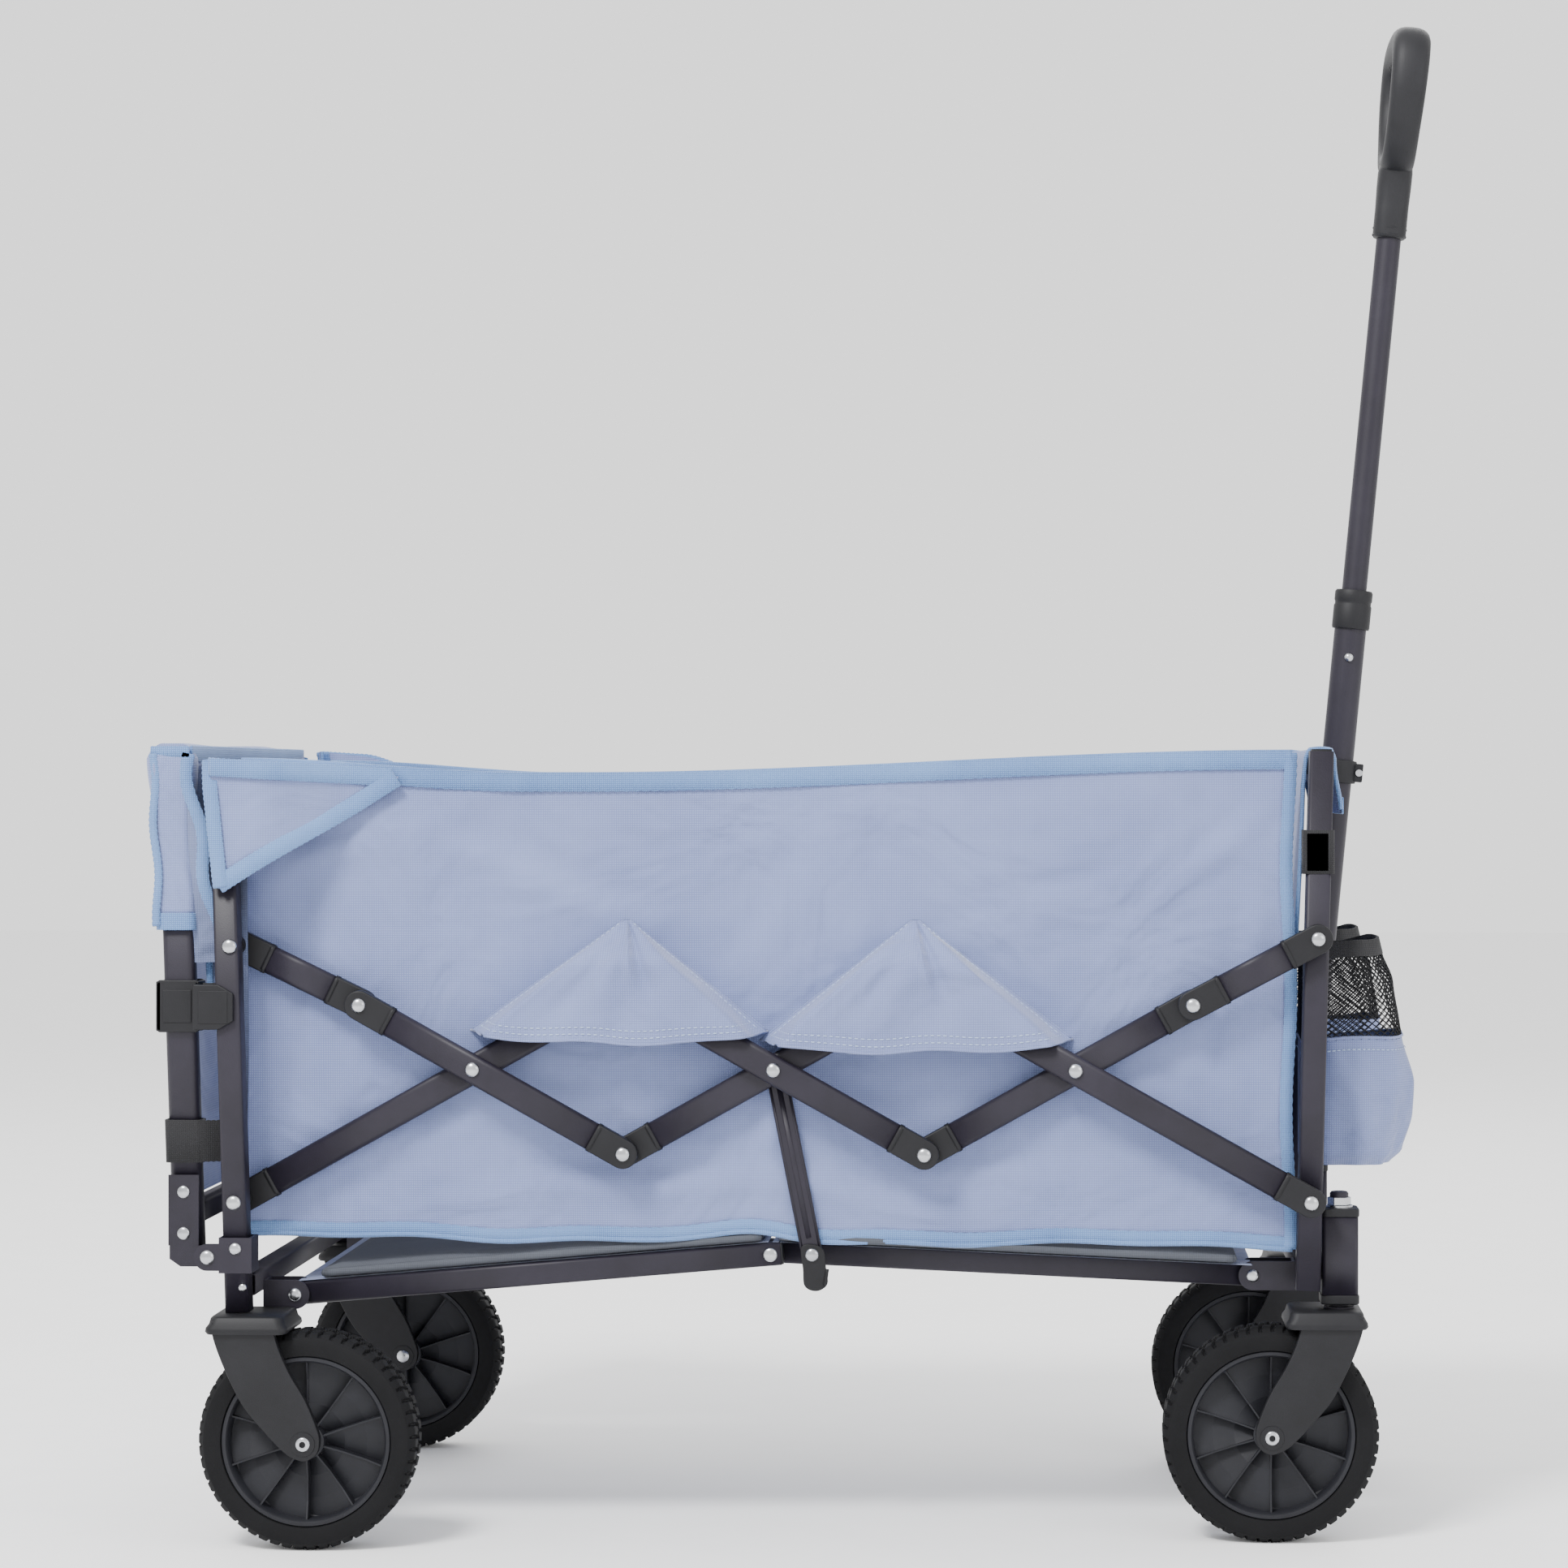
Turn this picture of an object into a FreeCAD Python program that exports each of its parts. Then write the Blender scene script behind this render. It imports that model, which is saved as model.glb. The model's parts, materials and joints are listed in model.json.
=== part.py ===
import FreeCAD, Part
import math
import os

os.makedirs("parts", exist_ok=True)

# Folding wagon. X runs forward (handle end), Y to the wagon's left, Z up, z = 0 is the ground. Sizes in mm.

# --- wheels and forks
WHEEL_R = 89.0
TYRE_W = 45.0
RIM_R = 70.0
AXLE_R = 6.0
RUNNING = 0.35          # radial gap between pieces that turn on each other
REAR_HUB_X = -404.5
REAR_TRACK_Y = 230.0
FRONT_TRACK_Y = 178.0
CASTER_X = 440.5
TRAIL = 57.0
CHEEK_IN = 24.5
CHEEK_T = 8.0
CROWN_Z = (181.0, 192.0)

# --- posts
POST = 20.0
WALL = 1.6
REAR_POST = ((-463.2, 192.0), (-477.0, 640.0))
FRONT_POST = ((413.2, 209.0), (424.5, 652.0))
FRONT_POST_Y = 197.0

# --- scissor linkage: three crossings, all bars turn through the same angle
REST_ANGLE = math.radians(29.2)
CROSS_X = -273.4
CROSS_Z = 390.0
HALF = 142.0            # crossing to end pivot
ARM = 220.6             # outer crossings to the post pivots
REAR_SHORT = 107.8      # first crossing to the rear link
FRONT_SHORT = 110.0     # last crossing to the front link
PIVOT_A = (-469.5, 492.0)
PIVOT_E = (420.7, 498.0)
BAR_W = 24.0
BAR_T = 10.0
INNER_Y = 202.0
OUTER_Y = 213.5
RIVET_R = 4.0
HEAD_R = 6.2
HEAD_T = 2.2

# --- folding floor
FLOOR_TUBE = 19.0
FLOOR_REAR = (-425.0, 201.0)
FLOOR_MID = (-30.0, 235.0)
FLOOR_FRONT = (369.7, 217.0)
FLOOR_REAR_Y = 180.5
FLOOR_FRONT_Y = 159.5
MAT_HALF_Y = 186.0
MAT_T = 12.0
STRUT_END = (5.0, 236.0)
STRUT_Y = (192.6, 195.4)

# --- handle
HANDLE_X = 414.2
HANDLE_Z = 254.0
HANDLE_LEAN = 5.6
OUTER_TUBE_R = 14.0
INNER_TUBE_R = 11.0
COLLAR_Z = 794.0
GRIP_Z = 1101.0
TOP_Z = 1283.0
BUTTON_Z = 735.0

# --- gate
GATE_PIVOT = (-487.0, 238.0)
GATE_LOW = (-507.0, 244.0)
GATE_HIGH = (-520.0, 641.0)
GATE_Y = 219.0
GATE_TUBE = (26.0, 16.0)

# --- fabric
FABRIC_Y = 188.5
FABRIC_T = 2.0
RIM_Z = 644.0
FABRIC_BOTTOM = 254.0

V = FreeCAD.Vector
Y_AXIS = V(0, 1, 0)


def save(name, solids):
    """Write one node: a single solid, or a group of them."""
    shape = solids[0] if len(solids) == 1 else Part.makeCompound(solids)
    shape.exportStep("parts/" + name + ".step")


def block(x, y, z):
    """A box from three (low, high) pairs."""
    return Part.makeBox(x[1] - x[0], y[1] - y[0], z[1] - z[0], V(x[0], y[0], z[0]))


def rod_y(x, z, r, y0, y1):
    """A cylinder along Y."""
    return Part.makeCylinder(r, y1 - y0, V(x, y0, z), Y_AXIS)


def both_sides(shape):
    """The shape and its mirror image across the middle plane."""
    return [shape, shape.mirror(V(0, 0, 0), Y_AXIS)]


def beam(p, q, width, y, over=(0, 0), wall=0):
    """A straight rectangular beam in the side plane, p to q, optionally a tube."""
    dx, dz = q[0] - p[0], q[1] - p[1]
    length = math.hypot(dx, dz)
    lean = -math.degrees(math.atan2(dz, dx))
    x0, x1 = -over[0], length + over[1]
    solid = block((x0, x1), y, (-width / 2, width / 2))
    if wall:
        hole = (-width / 2 + wall, width / 2 - wall)
        solid = solid.cut(block((x0 - 1, x1 + 1), (y[0] + wall, y[1] - wall), hole))
    solid.rotate(V(0, 0, 0), Y_AXIS, lean)
    solid.translate(V(p[0], 0, p[1]))
    return solid


def cross_tube(x, z, size, half_y, wall=WALL):
    """A square tube across the wagon."""
    outer = block((x - size / 2, x + size / 2), (-half_y, half_y), (z - size / 2, z + size / 2))
    s = size / 2 - wall
    return outer.cut(block((x - s, x + s), (-half_y - 1, half_y + 1), (z - s, z + s)))


def plate(points, y0, y1):
    """A flat plate from a closed outline in the side plane."""
    wire = Part.makePolygon([V(x, y0, z) for x, z in points + points[:1]])
    return Part.Face(wire).extrude(V(0, y1 - y0, 0))


def turned(profile, x, z, y):
    """A solid turned about the Y line through (x, z), from (radius, offset) points."""
    wire = Part.makePolygon([V(x, y + o, z + r) for r, o in profile + profile[:1]])
    return Part.Face(wire).revolve(V(x, y, z), Y_AXIS, 360)


def along(p, angle, distance):
    """The point at a distance from p, at an angle in the side plane."""
    return (p[0] + distance * math.cos(angle), p[1] + distance * math.sin(angle))


# ---------------------------------------------------------------- wheels
def tyre(x, y):
    w = TYRE_W / 2
    profile = [
        (RIM_R, -w + 3), (RIM_R + 3, -w), (WHEEL_R - 7, -w), (WHEEL_R - 1, -w + 6), (WHEEL_R, -w + 12),
        (WHEEL_R, w - 12), (WHEEL_R - 1, w - 6), (WHEEL_R - 7, w), (RIM_R + 3, w), (RIM_R, w - 3),
    ]
    return turned(profile, x, WHEEL_R, y)


def rim(x, y):
    r = RIM_R - 0.1
    bore = AXLE_R + RUNNING
    profile = [
        (bore, -20), (14, -20), (14, -4), (r - 7, -4), (r - 7, -18), (r, -18),
        (r, 18), (r - 7, 18), (r - 7, 4), (14, 4), (14, 20), (bore, 20),
    ]
    solid = turned(profile, x, WHEEL_R, y)
    for side in (-1, 1):
        y0 = y + (3.5 if side > 0 else -13)
        ribs = []
        for n in range(10):
            rib = block((x + 13.5, x + r - 6.5), (y0, y0 + 9.5), (WHEEL_R - 1.5, WHEEL_R + 1.5))
            rib.rotate(V(x, y, WHEEL_R), Y_AXIS, 36 * n)
            ribs.append(rib)
        solid = solid.fuse(ribs)
    return solid.removeSplitter()


def fork(post_x, hub_x, y, stem_top):
    """A plastic fork: a crown over the tyre and a cheek each side, swept to the axle."""
    way = 1 if hub_x > post_x else -1
    crown = block((post_x - 31, post_x + 31), (y - CHEEK_IN - CHEEK_T, y + CHEEK_IN + CHEEK_T), CROWN_Z)
    outline = [
        (post_x - way * 25, 181.5), (post_x - way * 20, 160), (post_x - way * 8, 135),
        (hub_x - way * 31, 106), (hub_x - way * 12, 78), (hub_x, 75), (hub_x + way * 10, 79),
        (hub_x + way * 14, 89), (hub_x + way * 9, 102), (post_x + way * 44, 128),
        (post_x + way * 33, 158), (post_x + way * 30, 181.5),
    ]
    solid = crown
    for y0 in (y - CHEEK_IN - CHEEK_T, y + CHEEK_IN):
        solid = solid.fuse(plate(outline, y0, y0 + CHEEK_T))
    if stem_top:
        solid = solid.fuse(Part.makeCylinder(8, stem_top - 191, V(post_x, y, 191)))
        solid = solid.fuse(Part.makeCylinder(13, 2.5, V(post_x, y, 191.5)))
    return solid.cut(rod_y(hub_x, WHEEL_R, AXLE_R + 0.1, y - 40, y + 40)).removeSplitter()


def axle(x, y):
    """A riveted axle with a head each end."""
    reach = CHEEK_IN + CHEEK_T + 0.1
    pin = rod_y(x, WHEEL_R, AXLE_R, y - reach, y + reach)
    for y0 in (y - reach - 3, y + reach):
        pin = pin.fuse(rod_y(x, WHEEL_R, 9, y0, y0 + 3))
    return pin.removeSplitter()


front_hub_x = CASTER_X - TRAIL
for side, sign in (("right", -1), ("left", 1)):
    save("tyre_rear_" + side, [tyre(REAR_HUB_X, sign * REAR_TRACK_Y)])
    save("rim_rear_" + side, [rim(REAR_HUB_X, sign * REAR_TRACK_Y)])
    save("tyre_front_" + side, [tyre(front_hub_x, sign * FRONT_TRACK_Y)])
    save("rim_front_" + side, [rim(front_hub_x, sign * FRONT_TRACK_Y)])
    save("caster_fork_" + side, [fork(CASTER_X, front_hub_x, sign * FRONT_TRACK_Y, 288)])
    save("caster_axle_" + side, [axle(front_hub_x, sign * FRONT_TRACK_Y)])
save("rear_forks", both_sides(fork(REAR_POST[0][0], REAR_HUB_X, REAR_TRACK_Y, 0)))

# ---------------------------------------------------------------- linkage points
rise, fall = REST_ANGLE, -REST_ANGLE
x1 = (CROSS_X, CROSS_Z)
step = 2 * HALF * math.cos(REST_ANGLE)
x2 = (CROSS_X + step, CROSS_Z)
x3 = (CROSS_X + 2 * step, CROSS_Z)
t1, t2 = along(x1, rise, HALF), along(x2, rise, HALF)
bm1, bm2 = along(x1, fall, HALF), along(x2, fall, HALF)
pivot_b = along(x1, rise, -ARM)
pivot_f = along(x3, fall, ARM)
j1 = along(x1, fall, -REAR_SHORT)
j2 = along(x3, rise, FRONT_SHORT)

inner = (INNER_Y - BAR_T / 2, INNER_Y + BAR_T / 2)
outer = (OUTER_Y - BAR_T / 2, OUTER_Y + BAR_T / 2)
HOLE_R = RIVET_R + 0.3
CAP_LENGTH = 26.0
PLUG_LENGTH = 14.0


def bar_parts(p, q, y, holes, capped):
    """A flat bar p to q with round ends; capped bars get separate plastic end pieces."""
    r = BAR_W / 2
    plug = CAP_LENGTH if capped else PLUG_LENGTH
    body = beam(p, q, BAR_W, y, (-plug, -plug), 1.5)
    ends = []
    for a, b in ((p, q), (q, p)):
        angle = math.atan2(b[1] - a[1], b[0] - a[0])
        end = rod_y(a[0], a[1], r, y[0], y[1]).fuse(beam(a, along(a, angle, plug), BAR_W, y))
        ends.append(end.removeSplitter())
    if not capped:
        body = body.fuse(ends)
        ends = []
    tools = [rod_y(x, z, HOLE_R, y[0] - 1, y[1] + 1) for x, z in holes]
    body = body.cut(tools).removeSplitter()
    return body, [end.cut(tools).removeSplitter() for end in ends]


bars = (
    ("bar_a", pivot_b, t1, inner, (pivot_b, x1, t1), False),
    ("bar_b", j1, bm1, outer, (j1, x1, bm1), True),
    ("bar_c", bm1, t2, inner, (bm1, x2, t2), False),
    ("bar_d", t1, bm2, outer, (t1, x2, bm2), True),
    ("bar_e", bm2, j2, inner, (bm2, x3, j2), False),
    ("bar_f", t2, pivot_f, outer, (t2, x3, pivot_f), True),
)
for name, p, q, y, holes, capped in bars:
    body, ends = bar_parts(p, q, y, holes, capped)
    save(name, both_sides(body))
    if ends:
        save(name + "_ends", [s for end in ends for s in both_sides(end)])



def rivet(x, z, y0, y1):
    """A dome-headed rivet whose head stands out past y1, and a small head past y0."""
    solid = rod_y(x, z, RIVET_R, y0, y1)
    head = Part.makeCone(HEAD_R, HEAD_R - 2, HEAD_T, V(x, y1, z), Y_AXIS)
    return solid.fuse(head).removeSplitter()


save("link_rear", both_sides(bar_parts(PIVOT_A, j1, inner, (PIVOT_A, j1), False)[0]))
link = both_sides(bar_parts(j2, PIVOT_E, outer, (j2, PIVOT_E), False)[0])
save("link_front", link + both_sides(rivet(j2[0], j2[1], outer[0], outer[1] + 0.3)))

# rivets ride with the outer bar they hold: from behind the inner bar to outside the outer bar
joint_y = (inner[0], outer[1] + 0.3)
for name, points in (("rivets_b", (x1, bm1)), ("rivets_d", (t1, x2, bm2)), ("rivets_f", (t2, x3))):
    solids = []
    for x, z in points:
        behind = STRUT_Y[0] - 0.2 if (x, z) == x2 else joint_y[0]
        solids += both_sides(rivet(x, z, behind, joint_y[1]))
    if name == "rivets_b":
        solids += both_sides(rivet(j1[0], j1[1], outer[0], joint_y[1]))
    if name == "rivets_f":
        solids += both_sides(rivet(pivot_f[0], pivot_f[1], outer[0], joint_y[1]))
    save(name, solids)

# ---------------------------------------------------------------- rear frame
rear_y = (REAR_TRACK_Y - POST / 2, REAR_TRACK_Y + POST / 2)
post = beam(REAR_POST[0], REAR_POST[1], POST, rear_y, (-0.5, 0), WALL)
post = post.cut([rod_y(x, z, RIVET_R + 0.1, 210, 250) for x, z in (PIVOT_A, pivot_b)])
save("rear_posts", both_sides(post))
save("rear_cross_tube", [cross_tube(-460.5, 213, 18, rear_y[0])])


def u_bracket(x_base, x_pivot, z, y_mid, gap, height, hole):
    """Two cheeks and a base plate holding a floor bar's end."""
    way = 1 if x_pivot > x_base else -1
    t = 2.5
    y0, y1 = y_mid - gap / 2 - t, y_mid + gap / 2 + t
    low, high = z - height / 2, z + height / 2
    xs = sorted((x_base, x_base + way * t))
    solid = block(xs, (y0, y1), (low, high))
    xs = sorted((x_base, x_pivot))
    for y in ((y0, y0 + t), (y1 - t, y1)):
        cheek = block(xs, y, (low, high)).fuse(rod_y(x_pivot, z, height / 2, y[0], y[1]))
        solid = solid.fuse(cheek)
    return solid.cut(rod_y(x_pivot, z, hole, y0 - 1, y1 + 1)).removeSplitter()


gap = FLOOR_TUBE + 2
rear_u = u_bracket(-451.5, FLOOR_REAR[0], FLOOR_REAR[1], FLOOR_REAR_Y, gap, 24, RIVET_R + 0.1)
# a sleeve round the post's foot, with an ear that carries the gate
sleeve = block((-477.5, -450.5), (216.5, 243.0), (225, 254))
sleeve = sleeve.fuse(block((GATE_PIVOT[0], -470), (240.4, 243.0), (227, 249)))
sleeve = sleeve.fuse(rod_y(GATE_PIVOT[0], GATE_PIVOT[1], 11, 240.4, 243.0))
sleeve = sleeve.cut(block((-475.6, -453.4), (219.7, 240.4), (220, 260)))
sleeve = sleeve.cut(rod_y(GATE_PIVOT[0], GATE_PIVOT[1], RIVET_R + 0.1, 236, 246)).removeSplitter()
save("rear_brackets", both_sides(rear_u) + both_sides(sleeve))

fasteners = both_sides(axle(REAR_HUB_X, REAR_TRACK_Y))
for x, z in (PIVOT_A, pivot_b):
    pin = rod_y(x, z, RIVET_R, inner[0] - 1, rear_y[1])
    spacer = rod_y(x, z, 8, inner[1] + 0.6, rear_y[0])
    head = Part.makeCone(HEAD_R, HEAD_R - 2, HEAD_T, V(x, rear_y[1], z), Y_AXIS)
    back = rod_y(x, z, HEAD_R, inner[0] - 2.5, inner[0] - 0.7)
    fasteners += both_sides(pin.fuse([spacer, head, back]).removeSplitter())
y_out = FLOOR_REAR_Y + gap / 2 + 2.5
pin = rod_y(FLOOR_REAR[0], FLOOR_REAR[1], RIVET_R, FLOOR_REAR_Y - gap / 2 - 2.5, y_out)
head = Part.makeCone(HEAD_R, 4, 1.8, V(FLOOR_REAR[0], y_out, FLOOR_REAR[1]), Y_AXIS)
fasteners += both_sides(pin.fuse(head).removeSplitter())
gate_pin = rod_y(GATE_PIVOT[0], GATE_PIVOT[1], RIVET_R, 232.2, 243.0)
gate_head = Part.makeCone(HEAD_R, 4, 2, V(GATE_PIVOT[0], 243.0, GATE_PIVOT[1]), Y_AXIS)
fasteners += both_sides(gate_pin.fuse(gate_head).removeSplitter())
fasteners += both_sides(rod_y(-464, 245, 5, 243.0, 245.0))
save("rear_fasteners", fasteners)

# ---------------------------------------------------------------- front frame
front_y = (FRONT_POST_Y - POST / 2, FRONT_POST_Y + POST / 2)
post = beam(FRONT_POST[0], FRONT_POST[1], POST, front_y, (0, 0), WALL)
post = post.cut([rod_y(x, z, RIVET_R + 0.1, 180, 215) for x, z in (PIVOT_E, pivot_f)])
save("front_posts", both_sides(post))
low_tube = cross_tube(414, 222, 18, front_y[0])
top_tube = cross_tube(424, 642, 18, front_y[0])
save("front_cross_tubes", [low_tube, top_tube])

housing_x = (CASTER_X - 15, CASTER_X + 15)
housing_y = (FRONT_TRACK_Y - 15, FRONT_TRACK_Y + 15)
housing = block(housing_x, housing_y, (204, 268))
housing = housing.cut(block((CASTER_X - 13, CASTER_X + 13), (housing_y[0] + 2, housing_y[1] - 2), (200, 272)))
save("caster_housings", both_sides(housing.removeSplitter()))
caps = []
for z in ((196, 204), (268, 275)):
    cap = block((housing_x[0] - 0.3, housing_x[1] + 0.3), (housing_y[0] - 0.8, housing_y[1] + 0.8), z)
    cap = cap.cut(Part.makeCylinder(8 + RUNNING, 20, V(CASTER_X, FRONT_TRACK_Y, z[0] - 5)))
    caps += both_sides(cap)
save("housing_caps", caps)

front_u = u_bracket(404.6, FLOOR_FRONT[0], FLOOR_FRONT[1], FLOOR_FRONT_Y, gap, 24, RIVET_R + 0.1)
ear = block((HANDLE_X - 13, HANDLE_X + 13), (15.0, 18.0), (231, 254)).fuse(rod_y(HANDLE_X, HANDLE_Z, 13, 15.0, 18.0))
base = block((HANDLE_X - 13, HANDLE_X + 13), (-18.0, 18.0), (231, 233))
yoke = base.fuse(both_sides(ear)).cut(rod_y(HANDLE_X, HANDLE_Z, 5.1, -20, 20)).removeSplitter()
save("front_brackets", both_sides(front_u) + [yoke])

fasteners = []
for x, z in (PIVOT_E, pivot_f):
    top = front_y[1] if (x, z) == pivot_f else outer[1] + 0.3
    pin = rod_y(x, z, RIVET_R, front_y[0], top)
    if (x, z) == pivot_f:
        pin = rod_y(x, z, RIVET_R, front_y[0], outer[0] - 0.4)
    else:
        pin = pin.fuse(Part.makeCone(HEAD_R, HEAD_R - 2, HEAD_T, V(x, top, z), Y_AXIS))
    fasteners += both_sides(pin.removeSplitter())
y0, y1 = FLOOR_FRONT_Y - gap / 2 - 2.5, FLOOR_FRONT_Y + gap / 2 + 2.5
pin = rod_y(FLOOR_FRONT[0], FLOOR_FRONT[1], RIVET_R, y0, y1)
head = Part.makeCone(HEAD_R, 4, 1.8, V(FLOOR_FRONT[0], y1, FLOOR_FRONT[1]), Y_AXIS)
fasteners += both_sides(pin.fuse(head).removeSplitter())
bolt = rod_y(HANDLE_X, HANDLE_Z, 5, -18, 18)
for y in (-21, 18):
    bolt = bolt.fuse(rod_y(HANDLE_X, HANDLE_Z, 8, y, y + 3))
fasteners.append(bolt.removeSplitter())
for y in (-FRONT_TRACK_Y, FRONT_TRACK_Y):
    nut = Part.makeCylinder(11, 2, V(CASTER_X, y, 275)).fuse(Part.makeCylinder(8.5, 7, V(CASTER_X, y, 276)))
    fasteners.append(nut.cut(Part.makeCylinder(8 + RUNNING, 20, V(CASTER_X, y, 270))).removeSplitter())
save("front_fasteners", fasteners)

panel = plate([(393, 256), (394.5, 256), (412.5, 656), (411, 656)], -184, 184)
over = block((408, 437), (-186, 186), (654.5, 656.5))
lip = block((435.2, 437), (-186, 186), (597, 655))
flap = over.fuse(lip).cut(block((430, 440), (-24, 24), (590, 648)))
save("front_panel", [panel.cut(block((400, 440), (-190, 190), (653.5, 660))).fuse(
    block((408.5, 412.3), (-184, 184), (652, 655))).fuse(flap).removeSplitter()])


def pocket(y):
    """A bottle pocket: an open-topped cup."""
    shell = Part.makeCone(50, 43, 188, V(450, y, 305))
    return shell.cut(Part.makeCone(48.4, 41.4, 188, V(450, y, 307)))


save("bottle_pockets", [pocket(-110), pocket(110)])
ring = block((407.5, 436), (185.4, 208.3), (550, 588)).cut(block((409, 434.5), (186.7, 207.2), (540, 600)))
save("front_straps", both_sides(ring))

# ---------------------------------------------------------------- folding floor
def floor_half(p, q, y_mid, cross_at, hole_ends):
    """Two side bars from p to q with cross tubes between them."""
    y = (y_mid - FLOOR_TUBE / 2, y_mid + FLOOR_TUBE / 2)
    bar = beam(p, q, FLOOR_TUBE, y, (9, 9), 1.5)
    bar = bar.cut([rod_y(x, z, r, y[0] - 1, y[1] + 1) for (x, z), r in zip((p, q), hole_ends)])
    solid = bar.fuse(bar.mirror(V(0, 0, 0), Y_AXIS))
    angle = math.atan2(q[1] - p[1], q[0] - p[0])
    for distance in cross_at:
        x, z = along(p, angle, distance)
        tube = block((x - 9, x + 9), (-y[0], y[0]), (z - 8, z + 8))
        tube = tube.cut(block((x - 7.5, x + 7.5), (-y[0] - 1, y[0] + 1), (z - 6.5, z + 6.5)))
        solid = solid.fuse(tube)
    return solid


hinge_holes = (RIVET_R + 0.3, RIVET_R + 0.1)
save("floor_frame_rear", [floor_half(FLOOR_REAR, FLOOR_MID, FLOOR_REAR_Y, (60, 300), hinge_holes)])
save("floor_frame_front", [floor_half(FLOOR_FRONT, FLOOR_MID, FLOOR_FRONT_Y, (60, 300), (RIVET_R + 0.3, 5.2))])
stub = rod_y(FLOOR_MID[0], FLOOR_MID[1], RIVET_R, FLOOR_REAR_Y - 9.5, FLOOR_REAR_Y + 9.5)
head = Part.makeCone(HEAD_R, 4, 1.4, V(FLOOR_MID[0], FLOOR_REAR_Y + 9.5, FLOOR_MID[1]), Y_AXIS)
save("floor_hinge_rivets", both_sides(stub.fuse(head).removeSplitter()))


def mat(p, q, start, stop):
    """A padded board lying on the floor bars."""
    angle = math.atan2(q[1] - p[1], q[0] - p[0])
    up = angle + math.pi / 2 * (1 if abs(angle) < 1.5 else -1)
    low = FLOOR_TUBE / 2 + 1.4
    near, far = along(p, angle, start), along(p, angle, stop)
    corners = [along(near, up, low), along(far, up, low), along(far, up, low + MAT_T), along(near, up, low + MAT_T)]
    return plate(corners, -MAT_HALF_Y, MAT_HALF_Y)


save("floor_mat_rear", [mat(FLOOR_REAR, FLOOR_MID, 24, 394)])
save("floor_mat_front", [mat(FLOOR_FRONT, FLOOR_MID, 16, 397)])

# hanging lock struts and their hooks
strut = beam(x2, STRUT_END, 18, STRUT_Y)
for p in (x2, STRUT_END):
    strut = strut.fuse(rod_y(p[0], p[1], 9, STRUT_Y[0], STRUT_Y[1]))
strut = strut.cut([rod_y(p[0], p[1], HOLE_R, 190, 200) for p in (x2, STRUT_END)])
save("struts", both_sides(strut.removeSplitter()))

hx, hz = STRUT_END
hook = plate([(hx - 10, hz + 8), (hx + 9, hz + 8), (hx + 13, hz - 22), (hx + 3, hz - 31), (hx - 9, hz - 27), (hx - 8, hz - 12)],
             STRUT_Y[1] + 0.5, STRUT_Y[1] + 3.0)
hook = hook.fuse(rod_y(hx, hz, RIVET_R, STRUT_Y[0], STRUT_Y[1] + 1))
hook = hook.fuse(Part.makeCone(HEAD_R, 4, 1.6, V(hx, STRUT_Y[1] + 3.0, hz), Y_AXIS))
save("hooks", both_sides(hook.removeSplitter()))

# ---------------------------------------------------------------- gate
gate_y = (GATE_Y - GATE_TUBE[1] / 2, GATE_Y + GATE_TUBE[1] / 2)
upright = beam(GATE_LOW, GATE_HIGH, GATE_TUBE[0], gate_y, (0, 0), WALL)
top = block((GATE_HIGH[0] - 12, GATE_HIGH[0] + 12), (-gate_y[1], gate_y[1]), (641.5, 655))
top = top.cut(block((GATE_HIGH[0] - 10.4, GATE_HIGH[0] + 10.4), (-300, 300), (643.1, 653.4)))
low = block((GATE_LOW[0] - 9, GATE_LOW[0] + 9), (-gate_y[0], gate_y[0]), (262, 280))
low = low.cut(block((GATE_LOW[0] - 7, GATE_LOW[0] + 7), (-200, 200), (264, 278)))
save("gate_frame", both_sides(upright) + [top, low])
slope = (GATE_HIGH[0] - GATE_LOW[0]) / (GATE_HIGH[1] - GATE_LOW[1])
gx = [GATE_LOW[0] + slope * (z - GATE_LOW[1]) for z in (284, 640)]
save("gate_panel", [plate([(gx[0] - 1, 284), (gx[0] + 1, 284), (gx[1] + 1, 640), (gx[1] - 1, 640)], -209, 209)])


def gate_at(z):
    return GATE_LOW[0] + slope * (z - GATE_LOW[1])


cx = gate_at(442)
clip = block((cx - 18, cx + 16.5), (gate_y[0] - 1.8, gate_y[1] + 4.5), (421, 464))
clip = clip.cut(beam(GATE_LOW, GATE_HIGH, GATE_TUBE[0] + 1, (gate_y[0] - 0.4, gate_y[1] + 0.4), (10, 10)))
jaws = [block((cx + 14.5, -465), (216.0, 219.5), (424, 461)),
        block((cx + 14.5, -465), (240.6, 244.5), (424, 461)),
        block((cx + 14.5, cx + 16.5), (227.4, 244.5), (424, 461))]
save("gate_clips", both_sides(clip.fuse(jaws).removeSplitter()))

sx = gate_at(331)
ring = block((sx - 15.6, sx + 15.6), (gate_y[0] - 2, gate_y[1] + 2), (314, 349))
save("gate_straps", both_sides(ring.cut(block((sx - 14.2, sx + 14.2), (gate_y[0] - 0.5, gate_y[1] + 0.5), (300, 360)))))
channel = plate([(-521, 246), (-497, 246), (GATE_PIVOT[0] + 4.5, 246), (GATE_PIVOT[0] + 4.5, 230), (-492, 228.8),
                 (-512, 228.8), (-521, 235)], 227.6, 230)
channel = channel.fuse(block((-522, -497), (227.6, 230), (246, 304)))
channel = channel.fuse(rod_y(GATE_PIVOT[0], GATE_PIVOT[1], 9, 227.6, 230)).fuse(
    rod_y(GATE_PIVOT[0], GATE_PIVOT[1], 9, 230, 240.0))
channel = channel.cut(rod_y(GATE_PIVOT[0], GATE_PIVOT[1], RIVET_R + 0.3, 220, 250))
save("gate_channels", both_sides(channel.removeSplitter()))
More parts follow.
